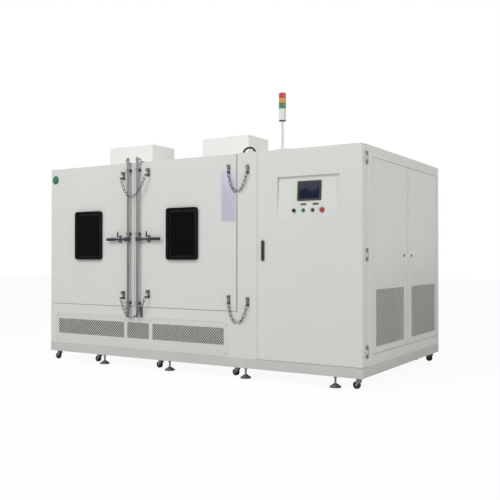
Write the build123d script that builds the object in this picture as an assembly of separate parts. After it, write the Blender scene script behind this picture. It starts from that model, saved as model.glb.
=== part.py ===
from build123d import *
import math
import os

# Walk-in environmental test chamber with two insulated doors and a control cabinet.
# Millimetres, +Z up, the front faces -Y. Sizes below are measured from the body's
# front left corner on the floor; every piece is then moved so that the origin lies
# on the floor under the middle of the whole object.

# Body
body_width = 3700.0
body_depth = 2120.0
roof_z = 2100.0
plinth_bottom = 100.0
plinth_top = 190.0
chamber_bottom = 620.0
chamber_width = 2452.0
cabinet_door_left = 2670.0
sheet_wall = 20.0

# Plinth frame, feet and casters
sill_depth = 80.0
side_sill_width = 120.0
channel_wall = 6.0
cross_width = 100.0
tube_wall = 5.0
inner_cross_centres = (605.0, 1449.0, 2375.0)
last_cross_inset = 670.0
inner_foot_centres = (752.0, 1621.0, 2514.0)
last_foot_inset = 270.0
foot_inset = 50.0
foot_pad_radius = 50.0
foot_pad_rim = 9.0
foot_cone_top = 34.0
foot_stem_radius = 9.0
foot_nut_radius = 16.0
foot_nut_height = 15.0
corner_caster_inset = 75.0
mid_caster_inset = 130.0
caster_side_inset = 60.0
caster_plate = 84.0
caster_plate_thickness = 5.0
wheel_radius = 33.0
wheel_width = 26.0
wheel_lift = 1.0
wheel_trail = 20.0
axle_radius = 4.0
fork_wall = 3.0
fork_side_gap = 2.0
fork_crown_gap = 3.0
kingpin_radius = 8.0
fit = 0.08

# Insulated chamber
insulation = 100.0
chamber_cavity_depth = 1816.0
liner = 2.0
mullion_width = 100.0
baffle_from_back = 330.0
baffle_thickness = 3.0
slot_height = 22.0
slot_count = 6

# Doors of the chamber
door_thickness = 96.0
door_front_gap = 8.0
door_seam_x = 1204.0
door_seam_gap = 6.0
door_top_gap = 4.0
door_bottom_gap = 4.0
door_left_gap = 2.0
hinge_gap = 10.0
gasket_width = 30.0
gasket_height = 7.6
gasket_inset = 26.0
window_width = 372.0
window_height = 508.0
window_corner = 26.0
window_centre_z = 1358.0
left_window_x = 574.0
right_window_x = 1814.0
window_depth = 70.0
window_seat = 0.2

# Continuous hinges of the chamber doors
barrel_radius = 4.7
pin_radius = 2.5
leaf_width = 44.0
leaf_thickness = 1.8
knuckle_count = 10
knuckle_gap = 1.0

# Lock rods, levers and catches
rod_radius = 12.5
rod_stand_off = 32.0
rod_offset = 62.0
rod_bottom = 516.0
rod_top = 2147.0
guide_heights = (661.0, 1366.0, 2015.0)
guide_half_width = 24.0
guide_height = 28.0
guide_wall = 5.5
plate_thickness = 4.0
lever_z = 1312.0
lever_length = 288.0
lever_thickness = 10.0
lever_hub_height = 46.0
lever_tip_height = 16.0
hub_radius = 19.0
hub_height = 40.0
grip_length = 118.0
grip_height = 28.0
grip_depth = 20.0
cam_reach = 29.0
cam_height = 12.0
cam_width = 11.0
bottom_cam_z = 603.0
top_cam_z = 2116.0
keeper_pin_radius = 5.0
keeper_gap = 6.0
keeper_half_width = 13.0
rail_plate_bottom = 520.0
catch_offset = 128.0
catch_width = 34.0
catch_bottom = 1276.0
catch_top = 1352.0
finger_pivot_z = 1338.0
finger_length = 52.0
finger_width = 13.0
finger_thickness = 8.0
finger_pin_radius = 3.5
finger_gap = 3.0

# Restraint chains
link_wire = 5.5
link_inner_length = 42.0
link_inner_width = 17.0
link_slack = 0.8
link_end_facets = 4
chain_bracket_width = 34.0
chain_bracket_height = 84.0
eye_hole_radius = 5.6
eye_wall = 5.0
lug_thickness = 6.0
centre_low_z = (1741.0, 510.0)
hinge_low_z = (1740.0, 512.0)
centre_eye_x = (1060.0, 1388.0)
hinge_eye_x = (2357.0, 2567.0)
centre_chain_links = (6, 7)
hinge_chain_links = (5, 5)
centre_eye_reach = 50.0
centre_chain_bulge = 12.0
hinge_eye_reach = 19.0
centre_chain_gap = 6.0
hinge_chain_gaps = (10.5, 19.5)
flat_link_reach = 5.3

# Control cabinet
cabinet_door_depth = 90.0
cabinet_door_gap = 3.0
cabinet_door_skin = 4.0
cabinet_frame = 40.0
recess_left = 2879.0
recess_right = 3492.0
recess_bottom = 1478.0
recess_top = 1850.0
recess_depth = 24.0
recess_wall = 4.0
screen_width = 234.0
screen_height = 176.0
screen_thickness = 8.0
screen_centre_x = 3197.0
screen_centre_z = 1716.0
button_centres = (3050.0, 3142.0, 3234.0, 3326.0)
button_z = 1543.0
button_stem_radius = 10.5
button_radius = (14.0, 13.0, 13.0, 19.0)
button_proud = (16.0, 9.0, 9.0, 14.0)
button_rest_height = 5.0
button_stem_length = 22.0
bezel_height = 6.0
bezel_wall = 3.5
bezel_gap = 0.4
handle_x = 2730.0
handle_bottom = 1095.0
handle_top = 1282.0
handle_base_width = 30.0
handle_base_thickness = 10.0
handle_lever_width = 18.0
handle_lever_thickness = 9.0
handle_gap = 0.4
cabinet_hinge_heights = (318.0, 1150.0, 1982.0)
cabinet_hinge_height = 112.0
cabinet_leaf_width = 44.0
cabinet_leaf_thickness = 3.0
cabinet_barrel_radius = 7.0
cabinet_pin_radius = 3.0

# Service doors on the cabinet's right side
side_door_front = 253.0
side_door_back = 2040.0
side_door_meet = 1138.0
side_door_bottom = 282.0
side_door_top = 2002.0
side_door_gap = 3.0
side_lock_offset = 105.0
side_lock_z = 1144.0
side_lock_radius = 13.0
side_lock_proud = 4.0
side_grille_bottom = 345.0
side_grille_top = 842.0
side_grille_margin = 63.0
side_grille_mullion = 125.0
side_grille_pitch = 100.0
side_grille_skin = 2.0
side_pin_inset = 6.0
side_pin_radius = 4.0
side_pin_reach = 12.0
side_mullion = 60.0
side_mullion_depth = 20.0
side_cam_length = 78.0
side_cam_width = 16.0
side_cam_thickness = 4.0

# Grille panel under the chamber doors
panel_left = 86.0
panel_right = 2345.0
panel_top = 512.0
panel_thickness = 3.0
grille_fields = ((121.0, 1064.0), (1106.0, 1392.0), (1436.0, 2300.0))
grille_bottom = 300.0
grille_top = 460.0
grille_pitch = 70.0
grille_land = 0.4

# Machinery behind the grilles
compressor_radius = 95.0
compressor_height = 330.0
compressor_inset = 850.0
compressor_rows = (1500.0, 1820.0)
condenser_width = 70.0
condenser_inset = 220.0
condenser_front = 1200.0
condenser_back = 1960.0
condenser_height = 620.0
condenser_groove = 12.0
condenser_fins = 9
backplate_y = 560.0
backplate_thickness = 4.0
device_rows = (700.0, 1150.0, 1600.0)
device_count = 6
device_height = 110.0
device_depth = 85.0
device_width = 110.0
evaporator_depth = 150.0
evaporator_height = 420.0

# Roof boxes, signal tower and the door's cable loop
roof_box_height = 290.0
roof_box_wall = 3.0
left_box = (300.0, 930.0, 620.0, 1020.0)
right_box = (1600.0, 2180.0, 640.0, 1040.0)
tower_from_loop = 302.0
tower_y = 118.0
tower_pole_radius = 12.0
tower_pole_top = 2379.0
tower_radius = 33.0
tower_base_height = 112.0
tower_lens_height = 49.0
tower_foot_length = 150.0
tower_foot_height = 22.0
loop_radius = 10.0
loop_height = 64.0
loop_span = (2436.0, 2566.0)
loop_setback = 30.0

# Places that follow from the sizes above
rear_y = body_depth
cross_centres = inner_cross_centres + (body_width - last_cross_inset,)
foot_centres = inner_foot_centres + (body_width - last_foot_inset,)
compressor_centres = [(body_width - compressor_inset, y) for y in compressor_rows]
condenser_left = body_width - condenser_inset
tower_x = loop_span[1] + tower_from_loop
shell_front = door_thickness + door_front_gap
door_bottom = chamber_bottom + door_bottom_gap
door_top = roof_z - door_top_gap
left_door_x = (door_left_gap, door_seam_x - door_seam_gap / 2)
right_door_x = (door_seam_x + door_seam_gap / 2, chamber_width - hinge_gap)
left_hinge = (-barrel_radius, door_thickness + door_front_gap / 2)
right_hinge = (chamber_width - hinge_gap / 2, barrel_radius - 2.0)
left_rod_x = door_seam_x - rod_offset
right_rod_x = door_seam_x + rod_offset
rod_y = -rod_stand_off
finger_back = rod_y - lever_thickness / 2 - finger_gap
cabinet_hinge = (body_width + cabinet_barrel_radius, cabinet_door_depth + cabinet_door_gap / 2)
cavity_top = roof_z - insulation
cavity_bottom = chamber_bottom + insulation
cavity_right = chamber_width - insulation
cavity_back = shell_front + chamber_cavity_depth
recess_slope = math.atan2(recess_depth, recess_top - recess_bottom)
link_pitch = link_inner_length - link_slack
chain_half_width = link_inner_width / 2 + link_wire
side_pin_x = body_width - side_pin_inset
side_pin_places = (side_door_front + side_pin_inset, side_door_back - side_pin_inset)
left_reach = 2 * barrel_radius
right_reach = 2 * cabinet_barrel_radius
front_reach = centre_eye_reach + centre_chain_bulge + chain_half_width
origin_x = (body_width + right_reach - left_reach) / 2
origin_y = (body_depth - front_reach) / 2


def slab(x0, x1, y0, y1, z0, z1):
    """A block between two corners."""
    middle = Pos((x0 + x1) / 2, (y0 + y1) / 2, (z0 + z1) / 2)
    return middle * Box(x1 - x0, y1 - y0, z1 - z0)


def post(x, y, z0, z1, radius):
    """An upright round bar."""
    return Pos(x, y, (z0 + z1) / 2) * Cylinder(radius, z1 - z0)


def bar_x(x0, x1, y, z, radius):
    """A round bar along X."""
    return Pos((x0 + x1) / 2, y, z) * Rot(0, 90, 0) * Cylinder(radius, x1 - x0)


def bar_y(x, y0, y1, z, radius):
    """A round bar along Y."""
    return Pos(x, (y0 + y1) / 2, z) * Rot(90, 0, 0) * Cylinder(radius, y1 - y0)


def front_outline(points, y0, y1):
    """A flat shape drawn in X and Z, from depth y0 to y1."""
    face = make_face(Polyline([(x, 0, z) for x, z in points], close=True))
    return Pos(0, y0, 0) * extrude(face, amount=y1 - y0, dir=(0, 1, 0))


def keep(name, pieces):
    """Write one named piece, or a group of like pieces, in the object's own frame."""
    shapes = pieces if isinstance(pieces, list) else [pieces]
    solids = [s for shape in shapes for s in shape.solids()]
    placed = [Pos(-origin_x, -origin_y, 0) * s for s in solids]
    export_step(Compound(children=placed) if len(placed) > 1 else placed[0], f"parts/{name}.step")


# Plinth: four channels with their flanges turned in, tied by square tubes
def channel(x0, x1, y0, y1, open_side):
    """A length of channel whose web stands on the side away from open_side."""
    body = slab(x0, x1, y0, y1, plinth_bottom, plinth_top)
    low, high = plinth_bottom + channel_wall, plinth_top - channel_wall
    x_in = {"right": (x0 + channel_wall, x1), "left": (x0, x1 - channel_wall)}.get(open_side, (x0, x1))
    y_in = {"back": (y0 + channel_wall, y1), "front": (y0, y1 - channel_wall)}.get(open_side, (y0, y1))
    return body - slab(*x_in, *y_in, low, high)


def cross_member(centre):
    """A square tube from the front channel to the rear one."""
    x0, x1 = centre - cross_width / 2, centre + cross_width / 2
    outer = slab(x0, x1, sill_depth, rear_y - sill_depth, plinth_bottom, plinth_top)
    inner = slab(x0 + tube_wall, x1 - tube_wall, sill_depth, rear_y - sill_depth,
                 plinth_bottom + tube_wall, plinth_top - tube_wall)
    return outer - inner


def plinth():
    """The welded base frame, as its separate lengths."""
    inner_y = (sill_depth, rear_y - sill_depth)
    lengths = [
        channel(0, body_width, 0, sill_depth, "back"),
        channel(0, body_width, rear_y - sill_depth, rear_y, "front"),
        channel(0, side_sill_width, *inner_y, "right"),
        channel(body_width - side_sill_width, body_width, *inner_y, "left"),
    ]
    return lengths + [cross_member(c) for c in cross_centres]


def levelling_foot(x, y):
    """A domed pad on a threaded stem, with its lock nut under the frame."""
    nut_bottom = plinth_bottom - foot_nut_height
    profile = [
        (0, 0), (foot_pad_radius, 0), (foot_pad_radius, foot_pad_rim),
        (foot_nut_radius, foot_cone_top), (foot_stem_radius, foot_cone_top),
        (foot_stem_radius, nut_bottom), (foot_nut_radius, nut_bottom),
        (foot_nut_radius, plinth_bottom), (0, plinth_bottom),
    ]
    face = make_face(Polyline([(r, 0, z) for r, z in profile], close=True))
    return Pos(x, y, 0) * revolve(face, Axis.Z)


# Casters: a fixed plate with its kingpin, a swivelling fork and a wheel on its axle
caster_places = (
    [(caster_side_inset, corner_caster_inset)]
    + [(x, mid_caster_inset) for x in inner_cross_centres]
    + [(body_width - caster_side_inset, corner_caster_inset)]
    + [(body_width - caster_side_inset, rear_y - corner_caster_inset)]
    + [(caster_side_inset, rear_y - corner_caster_inset)]
)
wheel_z = wheel_lift + wheel_radius
fork_top = plinth_bottom - caster_plate_thickness - 0.3
fork_crown = wheel_z + wheel_radius + fork_crown_gap
kingpin_bottom = fork_crown - 1.0
fork_inner = wheel_width / 2 + fork_side_gap


def caster_plate_piece(x, y):
    """The bolted top plate and the kingpin that hangs from it."""
    half = caster_plate / 2
    plate = slab(x - half, x + half, y - half, y + half, plinth_bottom - caster_plate_thickness, plinth_bottom)
    return plate + post(x, y, kingpin_bottom, plinth_bottom - caster_plate_thickness, kingpin_radius)


def caster_fork(x, y):
    """A pressed fork: a round swivel head over two cheeks that hold the axle."""
    outer = fork_inner + fork_wall
    head = post(x, y, fork_crown, fork_top, outer + 3)
    axle_x = x - wheel_trail
    cheek_outline = [
        (x + outer, fork_top - 3), (x - outer, fork_top - 3), (axle_x - 10, wheel_z - 2),
        (axle_x - 6, wheel_z - 9), (axle_x + 8, wheel_z - 9), (x + outer, fork_crown - 6),
    ]
    cheeks = [front_outline(cheek_outline, y + side, y + side + fork_wall)
              for side in (-outer, fork_inner)]
    axle = bar_y(axle_x, y - outer, y + outer, wheel_z, axle_radius)
    bridge = slab(x - outer, x + outer, y - outer, y + outer, fork_crown, fork_top - 3)
    fork = head + cheeks[0] + cheeks[1] + axle + bridge
    return fork - post(x, y, fork_crown - 1, fork_top + 1, kingpin_radius + fit)


def caster_wheel(x, y):
    """A tyred wheel with dished sides and a bored hub."""
    half, rim = wheel_width / 2, wheel_radius * 0.68
    bore = axle_radius + fit
    profile = [
        (bore, -half), (rim * 0.5, -half), (rim * 0.62, 4 - half), (rim, 4 - half), (rim * 1.12, -half),
        (wheel_radius - 3, -half), (wheel_radius, 3 - half), (wheel_radius, half - 3),
        (wheel_radius - 3, half), (rim * 1.12, half), (rim, half - 4), (rim * 0.62, half - 4),
        (rim * 0.5, half), (bore, half),
    ]
    face = make_face(Polyline([(r, 0, w) for r, w in profile], close=True))
    return Pos(x - wheel_trail, y, wheel_z) * Rot(90, 0, 0) * revolve(face, Axis.Z)


# Perforated sheets: staggered rows of square holes set on their points
def hole_grid(u0, u1, v0, v1, pitch):
    """Centres of a staggered pattern that fills a field."""
    rows = int((v1 - v0) // (pitch * 0.7))
    columns = int((u1 - u0) // pitch)
    centres = []
    for row in range(rows):
        shift = 0.5 if row % 2 else 0.0
        for column in range(columns - (row % 2)):
            u = (u0 + u1) / 2 + (column + shift - (columns - 1) / 2) * pitch
            v = (v0 + v1) / 2 + (row - (rows - 1) / 2) * pitch * 0.7
            centres.append((u, v))
    return centres


def diamond_holes(centres, half):
    """Square holes on their points, as one flat pattern in its own plane."""
    return [Pos(u, v) * Rot(0, 0, 45) * Rectangle(half, half) for u, v in centres]


def grille_panel():
    """The lift-out panel under the doors, pierced in three fields."""
    centres = [c for x0, x1 in grille_fields for c in hole_grid(x0, x1, grille_bottom, grille_top, grille_pitch)]
    outline = Pos((panel_left + panel_right) / 2, (plinth_top + 2 + panel_top) / 2) * Rectangle(
        panel_right - panel_left, panel_top - plinth_top - 2)
    sheet = outline - diamond_holes(centres, grille_pitch * 0.44)
    return Pos(0, panel_thickness, 0) * Rot(90, 0, 0) * extrude(sheet, amount=panel_thickness - grille_land)


# Lower machine housing under the chamber
def lower_housing():
    """A folded housing, open at the front behind the grille panel."""
    shell = slab(0, chamber_width, 0, rear_y, plinth_top, chamber_bottom)
    shell -= slab(sheet_wall, chamber_width - sheet_wall, sheet_wall, rear_y - sheet_wall,
                  plinth_top + sheet_wall, chamber_bottom - sheet_wall)
    shell -= slab(panel_left - 1.5, panel_right + 1.5, 0, panel_thickness, plinth_top, panel_top + 2)
    left, right = grille_fields[0][0], grille_fields[-1][1]
    return shell - slab(left - 5, right + 5, 0, sheet_wall, grille_bottom - 20, grille_top + 20)


# Insulated chamber
def chamber_shell():
    """The insulated walls, with the work space cut into them."""
    shell = slab(0, chamber_width, shell_front, rear_y, chamber_bottom, roof_z)
    return shell - slab(insulation, cavity_right, shell_front, cavity_back, cavity_bottom, cavity_top)


def chamber_liner():
    """The stainless lining, with the post that both doors close on."""
    outer = slab(insulation, cavity_right, shell_front, cavity_back, cavity_bottom, cavity_top)
    inner = slab(insulation + liner, cavity_right - liner, shell_front, cavity_back - liner,
                 cavity_bottom + liner, cavity_top - liner)
    half = mullion_width / 2
    mullion = slab(door_seam_x - half, door_seam_x + half, shell_front, shell_front + mullion_width,
                   cavity_bottom + liner / 2, cavity_top - liner / 2)
    return (outer - inner) + mullion


def air_baffle():
    """The wall in front of the coil, with outlet slots above and return slots below."""
    y0 = cavity_back - liner - baffle_from_back
    x0, x1 = insulation + liner, cavity_right - liner
    z0, z1 = cavity_bottom + liner, cavity_top - liner
    wall = slab(x0, x1, y0, y0 + baffle_thickness, z0, z1)
    slots = []
    for i in range(slot_count):
        low = z0 + 60 + i * 2 * slot_height
        for z in (low, z1 - (low - z0) - slot_height):
            for u0, u1 in ((x0 + 80, door_seam_x - 40), (door_seam_x + 40, x1 - 80)):
                slots.append(slab(u0, u1, y0, y0 + baffle_thickness, z, z + slot_height))
    return wall - slots


def evaporator():
    """The finned coil behind the baffle, on two end plates."""
    y1 = cavity_back - liner
    x0, x1 = insulation + liner + 150, cavity_right - liner - 150
    z0 = cavity_bottom + liner
    middle = z0 + 330
    block = slab(x0, x1, y1 - evaporator_depth, y1, middle, middle + evaporator_height)
    legs = [slab(x, x + 40, y1 - 40, y1, z0, middle) for x in (x0, x1 - 40)]
    return block + legs


# Chamber doors
def door_panel(x_range, window_x):
    """An insulated door with a rounded window opening."""
    x0, x1 = x_range
    slab_shape = slab(x0, x1, 0, door_thickness, door_bottom, door_top)
    hole = Pos(window_x, door_thickness, window_centre_z) * Rot(90, 0, 0) * extrude(
        RectangleRounded(window_width, window_height, window_corner), amount=door_thickness)
    return slab_shape - hole


def door_window(window_x):
    """The sealed glass unit that fills the opening."""
    size = (window_width - 2 * window_seat, window_height - 2 * window_seat)
    glass = extrude(RectangleRounded(*size, window_corner - window_seat), amount=window_depth)
    return Pos(window_x, window_depth + 1.5, window_centre_z) * Rot(90, 0, 0) * glass


def door_gasket(x_range):
    """The hollow rubber seal round the back of a door, as one frame."""
    x0, x1 = x_range[0] + gasket_inset, x_range[1] - gasket_inset
    z0, z1 = door_bottom + gasket_inset, door_top - gasket_inset
    y0, y1 = door_thickness, door_thickness + gasket_height
    frame = slab(x0, x1, y0, y1, z0, z1)
    return frame - slab(x0 + gasket_width, x1 - gasket_width, y0, y1, z0 + gasket_width, z1 - gasket_width)


def hinge_knuckles(place, own, leaf_box):
    """A leaf with every second knuckle of a continuous hinge."""
    step = (door_top - door_bottom) / knuckle_count
    barrel = None
    for i in range(own, knuckle_count, 2):
        low = door_bottom + i * step + knuckle_gap / 2
        knuckle = post(*place, low, low + step - knuckle_gap, barrel_radius)
        x0, x1, y0, y1 = leaf_box
        knuckle += slab(x0, x1, y0, y1, low, low + step - knuckle_gap)
        barrel = knuckle if barrel is None else barrel + knuckle
    return barrel


def left_hinge_leaf(own):
    """One leaf of the left door's hinge, on the body's left side."""
    x, y = left_hinge
    outward = x + barrel_radius - leaf_thickness
    if own == 0:
        leaf = (outward, door_left_gap, y - leaf_width, y - 1)
        strap_y = (y - leaf_width, y - barrel_radius - 1)
        strap = slab(outward, door_left_gap, *strap_y, door_bottom, door_top)
    else:
        leaf = (outward, 0, y + 1, y + leaf_width)
        strap = slab(outward, 0, y + barrel_radius + 1, y + leaf_width, door_bottom, door_top)
    shape = hinge_knuckles(left_hinge, own, leaf) + strap
    return shape - post(x, y, door_bottom, door_top, pin_radius + fit)


def right_hinge_leaf(own):
    """One leaf of the right door's hinge, in the gap beside the door."""
    x, y = right_hinge
    side = x - hinge_gap / 2 if own == 0 else x + hinge_gap / 2 - leaf_thickness
    near = (x - hinge_gap / 2, x - 1) if own == 0 else (x + 1, x + hinge_gap / 2)
    leaf = (*near, y, y + 3)
    strap = slab(side, side + leaf_thickness, y + barrel_radius + 1, y + leaf_width, door_bottom, door_top)
    web = slab(side, side + leaf_thickness, y, y + barrel_radius + 1, door_bottom, door_top)
    step = (door_top - door_bottom) / knuckle_count
    for i in range(1 - own, knuckle_count, 2):
        low = door_bottom + i * step - knuckle_gap / 2
        web -= slab(side, side + leaf_thickness, y, y + barrel_radius + 1, low, low + step + knuckle_gap)
    shape = hinge_knuckles(right_hinge, own, leaf) + strap + web
    return shape - post(x, y, door_bottom, door_top, pin_radius + fit)


# Lock rods with their cams, levers and grips
def lock_rod(x, side):
    """A rod with a cam at each end and the lever arm; side is -1 for left, 1 for right."""
    rod = post(x, rod_y, rod_bottom, rod_top, rod_radius)
    rod += post(x, rod_y, lever_z - hub_height / 2, lever_z + hub_height / 2, hub_radius)
    for z in (bottom_cam_z, top_cam_z):
        rod += post(x, rod_y, z - 3, z + cam_height + 3, rod_radius + 4)
        reach = sorted((x, x + side * cam_reach))
        rod += slab(*reach, rod_y - cam_width / 2, rod_y + cam_width / 2, z, z + cam_height)
    half_hub, half_tip = lever_hub_height / 2, lever_tip_height / 2
    outline = [
        (10, half_hub * 0.8), (34, half_hub), (74, half_tip), (lever_length - 8, half_tip),
        (lever_length - 8, -half_tip), (74, -half_tip), (34, -half_hub), (10, -half_hub * 0.8),
    ]
    arm = front_outline([(x + side * u, lever_z + v) for u, v in outline],
                        rod_y - lever_thickness / 2, rod_y + lever_thickness / 2)
    return rod + arm


def lever_grip(x, side):
    """The sleeve over the outer end of a lever."""
    end = x + side * lever_length
    start = x + side * (lever_length - grip_length)
    reach = sorted((start, end))
    half_h, half_d = grip_height / 2, grip_depth / 2
    sleeve = slab(*reach, rod_y - half_d, rod_y + half_d, lever_z - half_h, lever_z + half_h)
    sleeve = fillet(sleeve.edges().filter_by(Axis.X), half_d * 0.6)
    slot_end = sorted((start, end - side * 8))
    half_t, half_v = lever_thickness / 2, lever_tip_height / 2
    return sleeve - slab(*slot_end, rod_y - half_t, rod_y + half_t, lever_z - half_v, lever_z + half_v)


def rod_guide(x, z):
    """A guide bracket: a screwed foot and a bored head round the rod."""
    half = guide_height / 2
    head_radius = rod_radius + guide_wall
    shape = slab(x - guide_half_width, x + guide_half_width, -plate_thickness, 0, z - half, z + half)
    shape += slab(x - 11, x + 11, rod_y, -plate_thickness, z - half, z + half)
    shape += post(x, rod_y, z - half, z + half, head_radius)
    return shape - post(x, rod_y, z - half, z + half, rod_radius + fit)


def lever_catch(x, side):
    """The catch a lever rests in: a plate, a shelf with a nose, and the finger's pivot."""
    cx = x + side * catch_offset
    half = catch_width / 2
    shelf_z = lever_z - lever_tip_height / 2 - 1
    shape = slab(cx - half, cx + half, -plate_thickness, 0, catch_bottom, catch_top)
    profile = [
        (0, shelf_z - 14), (-14, shelf_z - 14), (rod_y - 6, shelf_z - 4),
        (rod_y - 6, shelf_z), (0, shelf_z),
    ]
    face = make_face(Polyline([(0, y, z) for y, z in profile], close=True))
    shape += Pos(cx - half, 0, 0) * extrude(face, amount=catch_width, dir=(1, 0, 0))
    return shape + bar_y(cx, finger_back - finger_thickness - 2, 0, finger_pivot_z, finger_pin_radius)


def catch_finger(x, side):
    """The turning finger that drops over a closed lever."""
    cx = x + side * catch_offset
    y1 = finger_back
    y0 = y1 - finger_thickness
    half = finger_width / 2
    outline = [
        (cx - half, finger_pivot_z - 7), (cx + half, finger_pivot_z - 7),
        (cx + half, finger_pivot_z + finger_length * 0.6), (cx + 3, finger_pivot_z + finger_length),
        (cx - 3, finger_pivot_z + finger_length), (cx - half, finger_pivot_z + finger_length * 0.6),
    ]
    return front_outline(outline, y0, y1) - bar_y(cx, y0 - 1, y1 + 1, finger_pivot_z, finger_pin_radius + fit)


def rod_keepers(x, side):
    """The two fixed stops behind a rod's cams, one on the roof and one on the rail."""
    toe = x + side * (cam_reach - 8)
    pin_y = rod_y + cam_width / 2 + keeper_gap + keeper_pin_radius
    edge_y = pin_y - keeper_pin_radius
    near = sorted((toe - side * 3, toe + side * 2 * keeper_half_width))
    roof_plate = slab(*near, shell_front, shell_front + 60, roof_z, roof_z + plate_thickness)
    tongue = slab(*near, edge_y, shell_front, roof_z, roof_z + plate_thickness)
    top_pin = post(toe + side * 4, pin_y, roof_z, top_cam_z + cam_height + 8, keeper_pin_radius)
    top = roof_plate + tongue + top_pin
    shelf_z = bottom_cam_z - 9
    rail_plate = slab(*near, -plate_thickness, 0, rail_plate_bottom, chamber_bottom - 1)
    shelf = slab(*near, edge_y, -plate_thickness, shelf_z, shelf_z + plate_thickness)
    low_pin = post(toe + side * 4, pin_y, shelf_z, bottom_cam_z + cam_height + 3, keeper_pin_radius)
    return [top, rail_plate + shelf + low_pin]


# Restraint chains
def chain_link():
    """One link along X, lying flat in X and Z, faceted round its ends."""
    half_run = link_inner_length / 2 - link_inner_width / 2

    def ring(radius):
        """The outline at one distance from the two end centres."""
        points = []
        for end, start in ((1, -90), (-1, 90)):
            for i in range(link_end_facets + 1):
                angle = math.radians(start + 180 * i / link_end_facets)
                points.append((end * half_run + radius * math.cos(angle), radius * math.sin(angle)))
        return make_face(Polyline([(u, v, 0) for u, v in points], close=True))

    inner, outer = link_inner_width / 2, link_inner_width / 2 + link_wire
    flat = extrude(ring(outer) - ring(inner), amount=link_wire / 2, both=True)
    rims = flat.edges().filter_by(lambda e: abs(abs(e.center().Z) - link_wire / 2) < 0.01)
    return Rot(90, 0, 0) * chamfer(rims, link_wire * 0.28)


def chain_drop(span, length):
    """How far below its eye a half chain of a given length hangs at the seam."""
    def arc(drop):
        """Length of the curve for one drop, summed over short steps."""
        steps, total, last = 80, 0.0, (0.0, 0.0)
        for i in range(1, steps + 1):
            t = i / steps
            point = (span * t, -drop * (1 - (1 - t) ** 2))
            total += math.dist(point, last)
            last = point
        return total
    low, high = 1.0, 600.0
    for _ in range(40):
        middle = (low + high) / 2
        low, high = (middle, high) if arc(middle) < length else (low, middle)
    return (low + high) / 2


def chain_length(count):
    """Length of a half chain from its eye to the end of its last link."""
    return count * link_pitch + link_wire


def half_chain(eye, end_x, count, reach, bulge, flat_end):
    """Links from a bracket's eye to the seam, hanging under their own weight."""
    length = chain_length(count)
    span = end_x - eye[0]
    drop = chain_drop(span, length)

    def place(t):
        """A point of the chain at one share of its span."""
        depth = -reach - bulge * math.sin(math.pi * t / 2)
        return Vector(eye[0] + span * t, depth, eye[1] - drop * (1 - (1 - t) ** 2))

    samples = [place(i / 400) for i in range(401)]
    travelled = [0.0]
    for a, b in zip(samples, samples[1:]):
        travelled.append(travelled[-1] + (b - a).length)

    def at(distance):
        """The point at a distance along the chain."""
        for i in range(400):
            if travelled[i + 1] >= distance:
                share = (distance - travelled[i]) / (travelled[i + 1] - travelled[i])
                return samples[i] + (samples[i + 1] - samples[i]) * share
        return samples[-1]

    links = []
    scale = travelled[-1] / length
    for i in range(count):
        a = at((i * link_pitch) * scale)
        b = at((i * link_pitch + link_pitch + link_wire) * scale)
        if flat_end and i == count - 1:
            a = Vector(a.X, a.Y + link_inner_width / 2 - link_wire / 2 - 0.3, a.Z)
            b = Vector(b.X, -flat_end, b.Z)
        along = (b - a).normalized()
        tilt = -math.degrees(math.atan2(along.Z, math.hypot(along.X, along.Y)))
        turn = math.degrees(math.atan2(along.Y, along.X))
        roll = 0.0 if i % 2 == 0 else 90.0
        centre = a + (b - a) * 0.5
        links.append(Pos(centre.X, centre.Y, centre.Z) * Rot(0, 0, turn) * Rot(0, tilt, 0)
                     * Rot(roll, 0, 0) * chain_link())
    return links


def chain_bracket(eye, reach):
    """A plate with a horned hook above and a bored lug that holds the first link."""
    x, z = eye
    half = chain_bracket_width / 2
    bottom, top = z - 14, z - 14 + chain_bracket_height
    shape = slab(x - half, x + half, -plate_thickness, 0, bottom, top)
    lug_end = -reach - eye_hole_radius - eye_wall
    shape += slab(x - lug_thickness / 2, x + lug_thickness / 2, lug_end, -plate_thickness,
                  z - eye_hole_radius - eye_wall, z + eye_hole_radius + eye_wall)
    hook = [
        (x - 13, top - 34), (x + 14, top - 34), (x + 14, top - 22), (x + 6, top - 14),
        (x - 4, top - 16), (x - 9, top - 2), (x - 14, top - 4),
    ]
    shape += front_outline(hook, -reach * 0.5 - 8, -plate_thickness)
    return shape - bar_x(x - 10, x + 10, -reach, z, eye_hole_radius)


def hung_chain(eye_x, end_x, low_z, count, reach, bulge, flat_end):
    """A bracket and its half chain, set so that the chain's end hangs at low_z."""
    eye = (eye_x, low_z + chain_drop(end_x - eye_x, chain_length(count)))
    return chain_bracket(eye, reach), half_chain(eye, end_x, count, reach, bulge, flat_end)


def centre_chains(i):
    """Upper and lower half chains at the seam between the doors, for one door."""
    end_x = door_seam_x + (centre_chain_gap if i else -centre_chain_gap)
    return [hung_chain(centre_eye_x[i], end_x, low_z, centre_chain_links[i],
                       centre_eye_reach, centre_chain_bulge, 0) for low_z in centre_low_z]


def hinge_chains(i):
    """Upper and lower half chains across the right door's hinge, for one side of it."""
    end_x = right_hinge[0] + (hinge_chain_gaps[1] if i else -hinge_chain_gaps[0])
    return [hung_chain(hinge_eye_x[i], end_x, low_z, hinge_chain_links[i],
                       hinge_eye_reach, 0, flat_link_reach) for low_z in hinge_low_z]


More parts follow.
